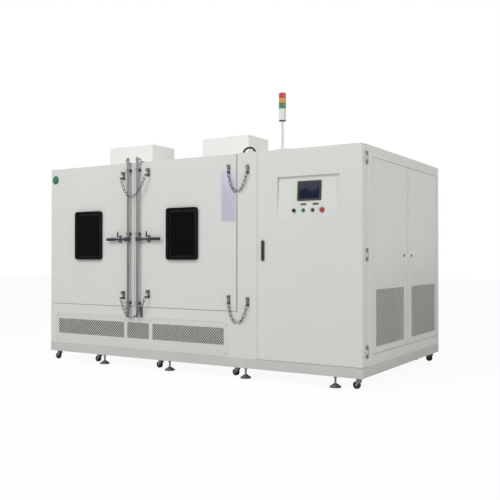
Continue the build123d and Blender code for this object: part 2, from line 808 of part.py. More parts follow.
# Control cabinet
def cabinet_shell():
    """The cabinet's frame and sheets, open behind its doors."""
    x0, x1 = chamber_width, body_width
    shell = slab(x0, x1, 0, rear_y, plinth_top, roof_z)
    body_front = cabinet_door_depth + cabinet_door_gap
    shell -= slab(cabinet_door_left - 2, x1, 0, body_front, plinth_top, roof_z)
    inner_front = body_front + sheet_wall
    shell -= slab(x0 + sheet_wall, x1 - sheet_wall, inner_front, rear_y - sheet_wall,
                  plinth_top + sheet_wall, roof_z - sheet_wall)
    shell -= slab(x0 + sheet_wall, cabinet_door_left - 2 - sheet_wall, sheet_wall, inner_front,
                  plinth_top + sheet_wall, roof_z - sheet_wall)
    shell -= slab(cabinet_door_left + cabinet_frame, x1 - cabinet_frame, body_front, inner_front,
                  plinth_top + cabinet_frame, roof_z - cabinet_frame)
    shell -= slab(x1 - sheet_wall, x1, side_door_front - side_door_gap, side_door_back + side_door_gap,
                  side_door_bottom - side_door_gap, side_door_top + side_door_gap)
    half = side_mullion / 2
    shell += slab(x1 - sheet_wall - side_mullion_depth, x1 - sheet_wall, side_door_meet - half,
                  side_door_meet + half, plinth_top + sheet_wall, roof_z - sheet_wall)
    for y in side_pin_places:
        shell -= post(side_pin_x, y, side_door_bottom - side_pin_reach - 1,
                      side_door_top + side_pin_reach + 1, side_pin_radius + fit)
    return shell


def recess_point(z):
    """Depth of the sloping control plate at one height."""
    return (z - recess_bottom) * math.tan(recess_slope)


def on_plate(x, z):
    """A frame on the control plate, with its own Z straight out of the plate."""
    return Pos(x, recess_point(z), z) * Rot(90 - math.degrees(recess_slope), 0, 0)


def cabinet_door():
    """A folded door with a wedge-shaped recess for the controls."""
    x0, x1 = cabinet_door_left, body_width
    z0, z1 = plinth_top + cabinet_door_gap, roof_z - cabinet_door_gap
    skin = cabinet_door_skin
    door = slab(x0, x1, 0, cabinet_door_depth, z0, z1)
    door -= slab(x0 + skin, x1 - skin, skin, cabinet_door_depth, z0 + skin, z1 - skin)
    door += slab(recess_left - recess_wall, recess_right + recess_wall, 0, recess_depth + recess_wall,
                 recess_bottom - recess_wall, recess_top + recess_wall)
    wedge = [(0, recess_bottom), (0, recess_top), (recess_depth, recess_top)]
    face = make_face(Polyline([(0, y, z) for y, z in wedge], close=True))
    door -= Pos(recess_left, 0, 0) * extrude(face, amount=recess_right - recess_left, dir=(1, 0, 0))
    for x, radius in zip(button_centres, button_radius):
        bezel = Circle(radius + bezel_gap + bezel_wall) - Circle(radius + bezel_gap)
        door += on_plate(x, button_z) * extrude(bezel, amount=bezel_height)
        door -= on_plate(x, button_z) * Cylinder(button_stem_radius + fit, 120)
    return door


def touchscreen():
    """The display unit on the sloping plate, with its glass set back in the frame."""
    frame = fillet(Box(screen_width, screen_height, screen_thickness).edges().filter_by(Axis.Z), 8)
    unit = frame - Pos(0, 0, screen_thickness / 2) * Box(screen_width - 30, screen_height - 30, 3)
    return on_plate(screen_centre_x, screen_centre_z) * Pos(0, 0, screen_thickness / 2) * unit


def push_button(i):
    """A round head on the stem that slides in the control plate."""
    head = Pos(0, 0, button_rest_height) * extrude(Circle(button_radius[i]), amount=button_proud[i])
    head = chamfer(head.edges().sort_by(Axis.Z)[-1], 2)
    stem = Pos(0, 0, button_rest_height - button_stem_length) * extrude(
        Circle(button_stem_radius), amount=button_stem_length)
    shape = head + stem
    if i == 0:
        shape += Pos(0, 0, button_rest_height + button_proud[0]) * extrude(Rectangle(7, 24), amount=8)
    return on_plate(button_centres[i], button_z) * shape


def cabinet_handle_base():
    """The handle's fixed plate on the cabinet door."""
    half = handle_base_width / 2
    plate = slab(handle_x - half, handle_x + half, -handle_base_thickness, 0, handle_bottom, handle_top)
    plate = fillet(plate.edges().filter_by(Axis.Y), 10)
    hub_z = handle_top - 26
    return plate - bar_y(handle_x, -handle_base_thickness - 1, -2, hub_z, 8 + fit)


def cabinet_handle():
    """The turning lever that works the cabinet door's lock."""
    hub_z = handle_top - 26
    y1 = -handle_base_thickness - handle_gap
    y0 = y1 - handle_lever_thickness
    half = handle_lever_width / 2
    outline = [
        (handle_x - half, hub_z + 14), (handle_x + half, hub_z + 14),
        (handle_x + half, hub_z - 20), (handle_x + half * 0.6, handle_bottom + 12),
        (handle_x - half * 0.6, handle_bottom + 12), (handle_x - half, hub_z - 20),
    ]
    return front_outline(outline, y0, y1) + bar_y(handle_x, y1, -4, hub_z, 8)


def cabinet_hinge_half(z, moving):
    """Half of a butt hinge on the cabinet's right side."""
    x, y = cabinet_hinge
    half = cabinet_hinge_height / 2
    step = cabinet_hinge_height / 6
    knuckles = [(z - step, z + step)] if moving else [(z - half, z - step - 1), (z + step + 1, z + half)]
    side = -1 if moving else 1
    leaf_y = sorted((y + side * (cabinet_barrel_radius + 1), y + side * cabinet_leaf_width))
    leaf = slab(body_width, body_width + cabinet_leaf_thickness, *leaf_y, z - half, z + half)
    web_y = sorted((y, y + side * (cabinet_barrel_radius + 2)))
    for low, high in knuckles:
        leaf += post(x, y, low, high, cabinet_barrel_radius)
        leaf += slab(body_width, body_width + cabinet_leaf_thickness, *web_y, low, high)
    return leaf - post(x, y, z - half, z + half, cabinet_pin_radius + fit)


# Service doors on the cabinet's right side
def side_door(y0, y1, hinge_y, grille_y):
    """A sheet door with pivot pins at its corner and a pierced, thinned field."""
    x0, x1 = body_width - sheet_wall, body_width
    door = slab(x0, x1, y0, y1, side_door_bottom, side_door_top)
    door -= slab(x0, x1 - side_grille_skin, *grille_y, side_grille_bottom, side_grille_top)
    door += post(side_pin_x, hinge_y, side_door_bottom - side_pin_reach,
                 side_door_top + side_pin_reach, side_pin_radius)
    centres = hole_grid(*grille_y, side_grille_bottom, side_grille_top, side_grille_pitch)
    holes = extrude(Sketch() + diamond_holes(centres, side_grille_pitch * 0.42), amount=2 * side_grille_skin)
    door -= Plane((x1 - 1.5 * side_grille_skin, 0, 0), x_dir=(0, 1, 0), z_dir=(1, 0, 0)) * holes
    lock_y = side_lock_y(hinge_y)
    return door - bar_x(x0, x1, lock_y, side_lock_z, side_lock_radius * 0.6 + fit)


def side_lock_y(hinge_y):
    """Where a door's lock sits, beside the post that both doors close on."""
    return side_door_meet + (-side_lock_offset if hinge_y < side_door_meet else side_lock_offset)


def side_lock(y):
    """A quarter-turn lock: a slotted head, its barrel and the cam behind the sheet."""
    x_in = body_width - sheet_wall - side_mullion_depth - 1
    head = bar_x(body_width + 0.3, body_width + side_lock_proud, y, side_lock_z, side_lock_radius)
    head -= slab(body_width + side_lock_proud - 2, body_width + side_lock_proud,
                 y - 1.5, y + 1.5, side_lock_z - 9, side_lock_z + 9)
    barrel = bar_x(x_in - side_cam_thickness, body_width + 1, y, side_lock_z, side_lock_radius * 0.6)
    half = side_cam_width / 2
    cam = slab(x_in - side_cam_thickness, x_in, y - half, y + half,
               side_lock_z - side_cam_length, side_lock_z + half)
    return head + barrel + cam


# Machinery
def compressor(x, y):
    """A hermetic compressor: a domed shell on a flange with three short feet."""
    base = plinth_top + sheet_wall
    r, h = compressor_radius, compressor_height
    profile = [
        (0, 30), (r + 8, 30), (r + 8, 42), (r, 42), (r, h - 60), (r * 0.8, h - 18), (r * 0.4, h), (0, h),
    ]
    face = make_face(Polyline([(u, 0, v) for u, v in profile], close=True))
    body = Pos(x, y, base) * revolve(face, Axis.Z)
    for i in range(3):
        angle = math.radians(90 + 120 * i)
        body += post(x + r * 0.75 * math.cos(angle), y + r * 0.75 * math.sin(angle), base, base + 31, 14)
    return body


def condenser():
    """A finned coil that stands behind the rear grille."""
    base = plinth_top + sheet_wall
    x0, x1 = condenser_left, condenser_left + condenser_width
    block = slab(x0, x1, condenser_front, condenser_back, base, base + condenser_height)
    step = (condenser_back - condenser_front) / (condenser_fins + 1)
    for i in range(condenser_fins):
        y = condenser_front + (i + 1) * step
        block -= slab(x1 - 25, x1, y - condenser_groove, y + condenser_groove,
                      base + 25, base + condenser_height - 25)
    return block


def electrical_backplate():
    """The mounting plate with its rows of switchgear."""
    x0, x1 = chamber_width + sheet_wall, body_width - sheet_wall
    z0, z1 = plinth_top + sheet_wall, roof_z - sheet_wall
    plate = slab(x0, x1, backplate_y, backplate_y + backplate_thickness, z0, z1)
    pitch = (x1 - x0) / (device_count + 1)
    for z in device_rows:
        for i in range(device_count):
            x = x0 + (i + 1) * pitch
            plate += slab(x - device_width / 2, x + device_width / 2, backplate_y - device_depth,
                          backplate_y, z - device_height / 2, z + device_height / 2)
    return plate


# Roof
def roof_box(x0, x1, y0, y1):
    """A sheet cover on the roof, open underneath."""
    wall = roof_box_wall
    box = slab(x0, x1, y0, y1, roof_z, roof_z + roof_box_height)
    return box - slab(x0 + wall, x1 - wall, y0 + wall, y1 - wall, roof_z, roof_z + roof_box_height - wall)


def tower_stand():
    """The signal tower's foot, pole and white base module."""
    half = tower_foot_length / 2
    foot = slab(tower_x - half, tower_x + half, tower_y - 20, tower_y + 20, roof_z, roof_z + tower_foot_height)
    foot = chamfer(foot.edges().filter_by(Axis.Y).sort_by(Axis.Z)[-2:], 10)
    pole = post(tower_x, tower_y, roof_z, tower_pole_top + 1, tower_pole_radius)
    base = post(tower_x, tower_y, tower_pole_top, tower_pole_top + tower_base_height, tower_radius)
    return foot + pole + base


def tower_lens(i):
    """One lens of the tower, counted from the lowest."""
    low = tower_pole_top + tower_base_height + i * tower_lens_height
    lens = post(tower_x, tower_y, low, low + tower_lens_height, tower_radius)
    if i == 2:
        return chamfer(lens.edges().sort_by(Axis.Z)[-1], 6)
    return lens


def roof_hose():
    """The door's cable loop, which rises from the roof's front edge and goes back in."""
    x0, x1 = loop_span
    points = [(x0, 0, 0), (x0, 0, loop_height), (x1, 0, loop_height), (x1, 0, 0)]
    route = FilletPolyline(*points, radius=0.45 * 2 * loop_height)
    tube = sweep(Plane(origin=route @ 0, z_dir=route % 0) * Circle(loop_radius), path=route)
    return Pos(0, shell_front + loop_setback, roof_z) * tube


# Every node of the object
os.makedirs("parts", exist_ok=True)

keep("plinth_frame", plinth())
front_feet = [levelling_foot(x, foot_inset) for x in foot_centres]
rear_feet = [levelling_foot(x, rear_y - foot_inset) for x in foot_centres]
keep("floor_supports", front_feet + rear_feet + [caster_plate_piece(*place) for place in caster_places])
for i, place in enumerate(caster_places):
    keep(f"caster_fork_{i + 1}", caster_fork(*place))
    keep(f"caster_wheel_{i + 1}", caster_wheel(*place))

keep("lower_housing", lower_housing())
keep("lower_grille_panel", grille_panel())
keep("chamber_shell", chamber_shell())
keep("chamber_liner", chamber_liner())
keep("air_baffle", air_baffle())
keep("refrigeration_set", [compressor(*c) for c in compressor_centres] + [condenser(), evaporator()])
keep("cabinet_shell", cabinet_shell())
keep("electrical_backplate", electrical_backplate())
keep("roof_boxes", [roof_box(*left_box), roof_box(*right_box)])
keep("tower_stand", tower_stand())
for i, colour in enumerate(("green", "amber", "red")):
    keep(f"tower_lens_{colour}", tower_lens(i))
keep("roof_hose", roof_hose())

left_pin = post(*left_hinge, door_bottom, door_top, pin_radius)
right_pin = post(*right_hinge, door_bottom, door_top, pin_radius)
cabinet_pins = [post(*cabinet_hinge, z - cabinet_hinge_height / 2, z + cabinet_hinge_height / 2,
                     cabinet_pin_radius) for z in cabinet_hinge_heights]
cabinet_leaves = [cabinet_hinge_half(z, False) for z in cabinet_hinge_heights]
fixed_leaves = [left_hinge_leaf(1), right_hinge_leaf(1)] + cabinet_leaves
keep("fixed_hinge_leaves", fixed_leaves + [left_pin, right_pin] + cabinet_pins)

doors = (
    ("left", left_door_x, left_window_x, left_hinge_leaf(0), left_rod_x, -1, 0),
    ("right", right_door_x, right_window_x, right_hinge_leaf(0), right_rod_x, 1, 1),
)
for name, x_range, window_x, leaf, rod_x, side, i in doors:
    chains = centre_chains(i) + (hinge_chains(0) if name == "right" else [])
    brackets = [bracket for bracket, links in chains]
    guides = [rod_guide(rod_x, z) for z in guide_heights]
    keep(f"{name}_door_panel", [door_panel(x_range, window_x), leaf])
    keep(f"{name}_door_window", door_window(window_x))
    keep(f"{name}_door_gasket", door_gasket(x_range))
    keep(f"{name}_door_fittings", guides + [lever_catch(rod_x, side)] + brackets)
    keep(f"{name}_door_chains", [link for bracket, links in chains for link in links])
    keep(f"{name}_lock_rod", lock_rod(rod_x, side))
    keep(f"{name}_lever_grip", lever_grip(rod_x, side))
    keep(f"{name}_catch_finger", catch_finger(rod_x, side))
fixed_chains = hinge_chains(1)
fixed_brackets = [bracket for bracket, links in fixed_chains]
keep("keepers_and_brackets", rod_keepers(left_rod_x, -1) + rod_keepers(right_rod_x, 1) + fixed_brackets)
keep("fixed_chains", [link for bracket, links in fixed_chains for link in links])

moving_leaves = [cabinet_hinge_half(z, True) for z in cabinet_hinge_heights]
keep("cabinet_door", [cabinet_door(), cabinet_handle_base()] + moving_leaves)
keep("cabinet_handle", cabinet_handle())
keep("touchscreen", touchscreen())
for i, name in enumerate(("mode_selector", "start_button", "stop_button", "emergency_stop")):
    keep(name, push_button(i))

front_grille_y = (side_door_front + side_grille_margin, side_door_meet - side_grille_mullion)
rear_grille_y = (side_door_meet + side_grille_mullion, side_door_back - side_grille_margin)
half_gap = side_door_gap / 2
keep("side_door_front", side_door(side_door_front, side_door_meet - half_gap, side_pin_places[0], front_grille_y))
keep("side_door_rear", side_door(side_door_meet + half_gap, side_door_back, side_pin_places[1], rear_grille_y))
keep("side_lock_front", side_lock(side_lock_y(side_pin_places[0])))
keep("side_lock_rear", side_lock(side_lock_y(side_pin_places[1])))
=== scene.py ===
import logging
import math
from dataclasses import dataclass
from enum import Enum
from typing import Callable, Iterable

import bmesh
import bpy
import numpy as np
from mathutils import Matrix, Vector


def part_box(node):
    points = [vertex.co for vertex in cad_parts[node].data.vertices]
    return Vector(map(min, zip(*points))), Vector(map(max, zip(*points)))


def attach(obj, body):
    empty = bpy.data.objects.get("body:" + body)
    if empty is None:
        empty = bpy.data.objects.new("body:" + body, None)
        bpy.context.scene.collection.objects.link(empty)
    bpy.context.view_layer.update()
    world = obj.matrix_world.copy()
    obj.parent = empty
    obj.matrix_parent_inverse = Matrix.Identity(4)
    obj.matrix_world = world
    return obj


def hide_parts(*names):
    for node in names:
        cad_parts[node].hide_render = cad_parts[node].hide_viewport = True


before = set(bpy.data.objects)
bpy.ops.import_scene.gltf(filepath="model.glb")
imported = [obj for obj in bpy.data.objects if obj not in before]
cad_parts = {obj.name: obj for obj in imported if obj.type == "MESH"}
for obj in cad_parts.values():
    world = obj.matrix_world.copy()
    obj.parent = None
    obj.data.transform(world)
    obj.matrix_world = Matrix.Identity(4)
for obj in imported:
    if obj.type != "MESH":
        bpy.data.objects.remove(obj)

logging.basicConfig(level=logging.INFO, format="%(message)s")
log = logging.getLogger("test_chamber")

Piece = bpy.types.Object
MM = 0.001
# Bounds that every finish shares
SMOOTHEST = 0.02
BUMP_STRENGTH = 0.35
# Angles in degrees that count as a corner when an edge is eased
CORNER_ANGLE = 60
BOSS_CORNER_ANGLE = 50
# A vertex bevel of this profile gives an octagon that reads as a round hole
ROUND_PROFILE = 0.086
# Shares of a round head's measures: its eased rim, the flat inside that rim, and its socket's depth
HEAD_EASE = 0.22
HEAD_FLAT = 0.78
SOCKET_DEPTH = 0.5
# Shares of a screw's radius: its head's height and its socket's radius
SCREW_HEIGHT = 0.55
SCREW_SOCKET = 0.4
SCREW_SIDES = 12
# A face that looks this squarely up belongs to a piece's top, while it is drawn face up
FACE_UP = 0.9
CORNER = Vector((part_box("plinth_frame")[0].x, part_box("plinth_frame")[0].y, 0.0))


class Facing(Enum):
    """Which way a piece's outer face looks."""

    FRONT = Matrix.Rotation(math.radians(90), 4, "X")
    RIGHT = Matrix.Rotation(math.radians(90), 4, "Z") @ Matrix.Rotation(math.radians(90), 4, "X")
    UP = Matrix.Identity(4)


def at(x: float, y: float, z: float) -> Vector:
    """A place measured in millimetres from the body's front left corner on the floor."""
    return CORNER + Vector((x, y, z)) * MM


def linear(code: str) -> tuple[float, float, float, float]:
    """Turns six sRGB hex digits into Blender's linear red, green and blue, with an alpha of one."""
    digits = code.lstrip("#")
    parts = [int(digits[i:i + 2], 16) / 255 for i in (0, 2, 4)]
    values = [p / 12.92 if p <= 0.04045 else ((p + 0.055) / 1.055) ** 2.4 for p in parts]
    return (values[0], values[1], values[2], 1.0)


def bare_tree(holder: bpy.types.Material | bpy.types.World) -> bpy.types.NodeTree:
    """Turns on the nodes of a material or world, and empties its tree."""
    holder.use_nodes = True
    holder.node_tree.nodes.clear()
    return holder.node_tree


def add_node(tree: bpy.types.NodeTree, kind: str, links: dict | None = None, **settings) -> bpy.types.Node:
    """Adds one shader node with its settings, socket values and incoming links.

    Args:
        tree: the material's or world's node tree.
        kind: the node's Blender type name.
        links: input name or number, to a socket to link from or a value to set.
        settings: attributes of the node itself.

    Returns:
        The new node.
    """
    node = tree.nodes.new(kind)
    for name, value in settings.items():
        setattr(node, name, value)
    for name, value in (links or {}).items():
        if isinstance(value, bpy.types.NodeSocket):
            tree.links.new(value, node.inputs[name])
        else:
            node.inputs[name].default_value = value
    return node


@dataclass(frozen=True)
class Finish:
    """A surface as it was made, with one fine pattern and one broad variation.

    The colours are sRGB hex values. grain_mm is the size of the fine pattern, drawn coarse
    enough to show, and stretch lengthens it along Z, as brushing does.
    """

    name: str
    colour: str
    tone: str
    roughness: float = 0.5
    metallic: float = 0.0
    ior: float = 1.5
    grain_mm: float = 3.0
    bump_mm: float = 0.05
    cloud_mm: float = 20.0
    stretch: float = 1.0
    spread: float = 0.06
    coat: float = 0.0
    shine: float = 0.5

    def material(self) -> bpy.types.Material:
        """Builds the material once, and returns the same one after that."""
        known = bpy.data.materials.get(self.name)
        if known:
            return known
        made = bpy.data.materials.new(self.name)
        tree = bare_tree(made)
        place = add_node(tree, "ShaderNodeTexCoord")
        scale = Vector((1.0, 1.0, 1.0 / self.stretch))
        mapped = add_node(tree, "ShaderNodeMapping", {"Vector": place.outputs["Object"], "Scale": scale})
        grain = add_node(tree, "ShaderNodeTexNoise", {
            "Vector": mapped.outputs["Vector"], "Scale": 1 / (self.grain_mm * MM), "Detail": 2.0})
        cloud = add_node(tree, "ShaderNodeTexNoise", {
            "Vector": place.outputs["Object"], "Scale": 1 / (self.cloud_mm * MM), "Detail": 3.0})
        colour = add_node(tree, "ShaderNodeMix", {
            "Factor": cloud.outputs["Fac"], "A": linear(self.colour), "B": linear(self.tone)},
            data_type="RGBA")
        rough = add_node(tree, "ShaderNodeMapRange", {
            "Value": grain.outputs["Fac"], "To Min": max(self.roughness - self.spread, SMOOTHEST),
            "To Max": min(self.roughness + self.spread, 1.0)})
        bump = add_node(tree, "ShaderNodeBump", {
            "Height": grain.outputs["Fac"], "Strength": BUMP_STRENGTH, "Distance": self.bump_mm * MM})
        shader = add_node(tree, "ShaderNodeBsdfPrincipled", {
            "Base Color": colour.outputs["Result"], "Roughness": rough.outputs["Result"],
            "Normal": bump.outputs["Normal"], "Metallic": self.metallic, "IOR": self.ior,
            "Coat Weight": self.coat, "Specular IOR Level": self.shine})
        add_node(tree, "ShaderNodeOutputMaterial", {"Surface": shader.outputs["BSDF"]})
        return made


# Polyester powder coat on folded sheet steel: a soft sheen with a faint orange peel
POWDER_COAT = Finish("light_grey_powder_coat", "#D8DAD5", "#D3D5D0", 0.36, grain_mm=6, bump_mm=0.08,
                     cloud_mm=900)
# The same coat on the base, which picks up dust and reads a little darker
BASE_COAT = Finish("grey_base_powder_coat", "#C9CBC7", "#BFC1BD", 0.45, grain_mm=8, bump_mm=0.08,
                   cloud_mm=300)
# Gloss white coat on the roof boxes, which are fresher than the body
BOX_COAT = Finish("white_roof_box_coat", "#F0F0EE", "#E9E9E6", 0.4, grain_mm=6, bump_mm=0.08, cloud_mm=500)
# Dull zinc on the insides of the housings, made darker than the zinc itself as painted shade inside the
# closed housings
SHADED_INNER_ZINC = Finish("inner_zinc_with_painted_shade", "#5A5C5C", "#4A4C4C", 0.65, 0.3, grain_mm=30, cloud_mm=200)
# Perforated sheet, powder coated on both sides
GRILLE_COAT = Finish("perforated_sheet_coat", "#D4D6D1", "#CDCFCA", 0.45, grain_mm=10, cloud_mm=300)
# Cold rolled stainless sheet, brushed upright
STAINLESS = Finish("brushed_stainless_sheet", "#C3C4C2", "#B4B5B3", 0.34, 1.0, stretch=30, cloud_mm=500)
# Bright zinc on the axle nuts
BRIGHT_STEEL = Finish("bright_plated_steel", "#B9BABB", "#8E9092", 0.26, 1.0, grain_mm=2, cloud_mm=25)
# Zinc plate on the chain wire, dulled by handling
CHAIN_ZINC = Finish("dulled_zinc_chain_wire", "#6F7173", "#4B4D50", 0.3, 1.0, grain_mm=2)
# Cast zinc brackets, satin and slightly grey
CAST_BRACKET = Finish("satin_cast_bracket", "#8C8D8F", "#66686A", 0.38, 1.0, bump_mm=0.1, cloud_mm=30)
# Zinc plate on the pressings, hinge leaves and screws
DULL_STEEL = Finish("zinc_plated_pressing", "#8B8C8D", "#6E6F70", 0.45, 0.9, grain_mm=4, cloud_mm=40)
# Black oxide on the turning fingers and the fittings' screws
BLACK_STEEL = Finish("black_oxide_steel", "#26272A", "#1B1C1E", 0.42, 0.6, cloud_mm=40)
# Sealed glass unit with a dark space behind it
DARK_GLASS = Finish("dark_sealed_glass", "#050507", "#08080A", 0.12, ior=1.52, grain_mm=600, bump_mm=0.02,
                    cloud_mm=400, spread=0.03, shine=0.04)
# Black EPDM round the windows, matt
TRIM_RUBBER = Finish("black_window_seal", "#060607", "#0A0A0B", 0.5, grain_mm=4, bump_mm=0.1, cloud_mm=80,
                     shine=0.15)
# Drawn steel rod, satin
ROD_STEEL = Finish("satin_drawn_rod", "#8F9092", "#76787A", 0.3, 1.0, grain_mm=2, stretch=20, cloud_mm=60)
# Black rubber of the hose on the roof and of the foot pads' soles
BLACK_RUBBER = Finish("moulded_black_rubber", "#191A1B", "#202122", 0.7, grain_mm=4, bump_mm=0.2, cloud_mm=80)
# Silicone seal round the doors
GREY_RUBBER = Finish("silicone_door_seal", "#6B6D6E", "#5F6162", 0.65, grain_mm=5, bump_mm=0.15, cloud_mm=120)
# Rubber tyre, dusty where it rolls
TYRE_RUBBER = Finish("caster_tyre_rubber", "#1A1A1B", "#2B2A29", 0.75, bump_mm=0.2)
# Moulded nylon of the grips, handles, bezels, glands and side locks
BLACK_NYLON = Finish("moulded_black_nylon", "#141518", "#1D1E22", 0.5, grain_mm=2, bump_mm=0.12, cloud_mm=40)
# Dark blue paint on the lever arms
NAVY_PAINT = Finish("navy_lever_paint", "#20242F", "#272B38", 0.38, grain_mm=4, cloud_mm=50)
# White moulded body of the signal tower
TOWER_WHITE = Finish("white_moulded_body", "#E4E4E0", "#DCDCD7", 0.35, grain_mm=4, cloud_mm=60)
# Unlit moulded lenses, with depth from a glossy coat
LENS_GREEN = Finish("green_moulded_lens", "#1F6B3C", "#2A8149", 0.22, grain_mm=9, cloud_mm=30, coat=0.5)
LENS_AMBER = Finish("amber_moulded_lens", "#D9932B", "#C98220", 0.22, grain_mm=9, cloud_mm=30, coat=0.5)
LENS_RED = Finish("red_moulded_lens", "#B5302B", "#9F2622", 0.22, grain_mm=9, cloud_mm=30, coat=0.5)
# Moulded push buttons
BUTTON_GREEN = Finish("green_button_cap", "#1E7A3E", "#196A35", 0.3)
BUTTON_DARK = Finish("dark_red_button_cap", "#4B1518", "#3E1114", 0.3)
BUTTON_RED = Finish("red_mushroom_cap", "#B32A28", "#A12321", 0.3)
# Unlit display behind its touch panel
DISPLAY = Finish("unlit_display_glass", "#141C30", "#1B253C", 0.12, grain_mm=300, spread=0.03, cloud_mm=120,
                 shine=0.08)
# Bare film on the doors, and bare plates over the buttons
GREEN_FILM = Finish("green_printed_film", "#1F6A45", "#266F4B", 0.35, cloud_mm=30)
LILAC_FILM = Finish("pale_laminated_sheet", "#B7B3C8", "#C6C3D2", 0.3, grain_mm=4, cloud_mm=120)
PLATE_FILM = Finish("dark_engraved_laminate", "#2A2D35", "#32353E", 0.4, cloud_mm=30)
# Enamel on the compressors, the coil and the cabinet's backplate
MACHINE_ENAMEL = Finish("machine_enamel", "#2B2D30", "#3A3C40", 0.45, grain_mm=6, cloud_mm=80)


def dress(piece: Piece, finish: Finish) -> None:
    """Gives every face of a piece one finish."""
    piece.data.materials.clear()
    piece.data.materials.append(finish.material())


def dress_node(finish: Finish, *nodes: str) -> None:
    """Gives carried-over nodes a finish by name."""
    for node in nodes:
        dress(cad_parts[node], finish)


def dress_inside(node: str, finish: Finish, wall: float = 12.0) -> None:
    """Gives the faces inside a hollow node their own finish, those deeper than its walls."""
    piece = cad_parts[node]
    low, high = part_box(node)
    piece.data.materials.append(finish.material())
    for face in piece.data.polygons:
        spot = piece.matrix_world @ face.center
        depth = min(min(spot[i] - low[i], high[i] - spot[i]) for i in range(3))
        if depth > wall * MM:
            face.material_index = 1


def enter(mode: str) -> None:
    """Takes the active piece into a mode, EDIT or OBJECT."""
    bpy.ops.object.mode_set(mode=mode)


def fresh() -> None:
    """Leaves edit mode and selects nothing, so that the next operator acts on its own piece alone."""
    if bpy.context.object and bpy.context.object.mode != "OBJECT":
        enter("OBJECT")
    bpy.ops.object.select_all(action="DESELECT")


def only(piece: Piece) -> None:
    """Makes a piece the one that operators act on."""
    fresh()
    piece.select_set(True)
    bpy.context.view_layer.objects.active = piece


def settle(piece: Piece, name: str) -> Piece:
    """Puts a finished piece's place into its mesh and names it."""
    only(piece)
    bpy.ops.object.transform_apply(location=True, rotation=True, scale=True)
    piece.name = name
    piece.data.name = name
    return piece


def modify(piece: Piece, kind: str, **settings) -> None:
    """Adds one modifier and applies it."""
    only(piece)
    modifier = piece.modifiers.new(kind.lower(), kind)
    for name, value in settings.items():
        setattr(modifier, name, value)
    bpy.ops.object.modifier_apply(modifier=modifier.name)


def ease(piece: Piece, width: float, corner: float = CORNER_ANGLE) -> None:
    """Eases the edges of a piece that turn by more than the corner's degrees, by a width in millimetres."""
    modify(piece, "BEVEL", width=width * MM, segments=2, limit_method="ANGLE",
           angle_limit=math.radians(corner))


def pick(piece: Piece, part: str,
         test: Callable[[bpy.types.MeshPolygon | Vector], bool]) -> None:
    """Enters edit mode with the faces or vertices chosen that pass a test.

    Args:
        piece: the mesh to edit.
        part: FACE or VERT.
        test: takes a face, or a vertex's place in the mesh.
    """
    only(piece)
    enter("EDIT")
    bpy.ops.mesh.select_all(action="DESELECT")
    bpy.ops.mesh.select_mode(type=part)
    enter("OBJECT")
    if part == "FACE":
        for polygon in piece.data.polygons:
            polygon.select = test(polygon)
    else:
        for vertex in piece.data.vertices:
            vertex.select = test(vertex.co)
    enter("EDIT")


def drop_picked_faces() -> None:
    """Deletes the faces that were picked, and leaves edit mode."""
    bpy.ops.mesh.delete(type="FACE")
    enter("OBJECT")


def sink_picked_faces(rim: float, depth: float) -> None:
    """Leaves a rim round the picked faces, sinks the rest and leaves edit mode, in millimetres."""
    bpy.ops.mesh.inset(thickness=rim * MM)
    bpy.ops.mesh.extrude_region_move(TRANSFORM_OT_translate={"value": (0, 0, -depth * MM)})
    enter("OBJECT")


def slice_flat(axis: int, reach: float, side: float = 1.0, clear: bool = False) -> None:
    """Cuts the mesh in edit mode with an upright plane across X or Y.

    Args:
        axis: zero for a cut across X, one for a cut across Y.
        reach: where the plane crosses that axis, in millimetres.
        side: which way the plane looks.
        clear: whether what lies beyond the plane goes.
    """
    spot, normal = [0.0, 0.0, 0.0], [0.0, 0.0, 0.0]
    spot[axis], normal[axis] = reach * MM, side
    bpy.ops.mesh.select_all(action="SELECT")
    bpy.ops.mesh.bisect(plane_co=spot, plane_no=normal, clear_outer=clear)


def place_flat(piece: Piece, centre: Vector, facing: Facing) -> None:
    """Turns a piece drawn face up so that it faces its way, and moves it to its place."""
    fresh()
    piece.matrix_world = Matrix.Translation(centre) @ facing.value @ piece.matrix_world


def join(pieces: Iterable[Piece], name: str) -> Piece:
    """Joins several meshes into one named piece."""
    parts = list(pieces)
    fresh()
    for part in parts:
        part.select_set(True)
    bpy.context.view_layer.objects.active = parts[0]
    if len(parts) > 1:
        bpy.ops.object.join()
    return settle(parts[0], name)


def finish_piece(piece: Piece, finish: Finish, body: str, angle: float = 35.0) -> Piece:
    """Dresses a piece, smooths its gentle edges, sets it on its body and reports it."""
    dress(piece, finish)
    only(piece)
    bpy.ops.object.shade_smooth_by_angle(angle=math.radians(angle))
    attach(piece, body)
    log.info("%s: %d faces on %s", piece.name, len(piece.data.polygons), body)
    return piece


def plate(name: str, centre: Vector, size: tuple[float, float, float], facing: Facing,
          corner: float = 0.0, edge: float = 0.6) -> Piece:
    """A flat plate with rounded corners and eased edges, standing out from its centre.

    Args:
        name: the piece's name.
        centre: middle of the plate's back.
        size: width, height and thickness in millimetres.
        facing: which way its face looks.
        corner: radius of the four corners in millimetres.
        edge: width of the eased edge in millimetres.

    Returns:
        The plate, in place.
    """
    fresh()
    bpy.ops.mesh.primitive_cube_add(size=1, location=(0, 0, size[2] * MM / 2))
    piece = bpy.context.object
    piece.scale = Vector(size) * MM
    settle(piece, name)
    if corner:
        only(piece)
        enter("EDIT")
        bpy.ops.mesh.select_all(action="DESELECT")
        enter("OBJECT")
        for line in piece.data.edges:
            a, b = (piece.data.vertices[i].co for i in line.vertices)
            line.select = abs(a.z - b.z) > size[2] * MM / 2
        enter("EDIT")
        bpy.ops.mesh.select_mode(type="EDGE")
        bpy.ops.mesh.bevel(offset=corner * MM, segments=6)
    enter("OBJECT")
    ease(piece, edge)
    place_flat(piece, centre, facing)
    return settle(piece, name)


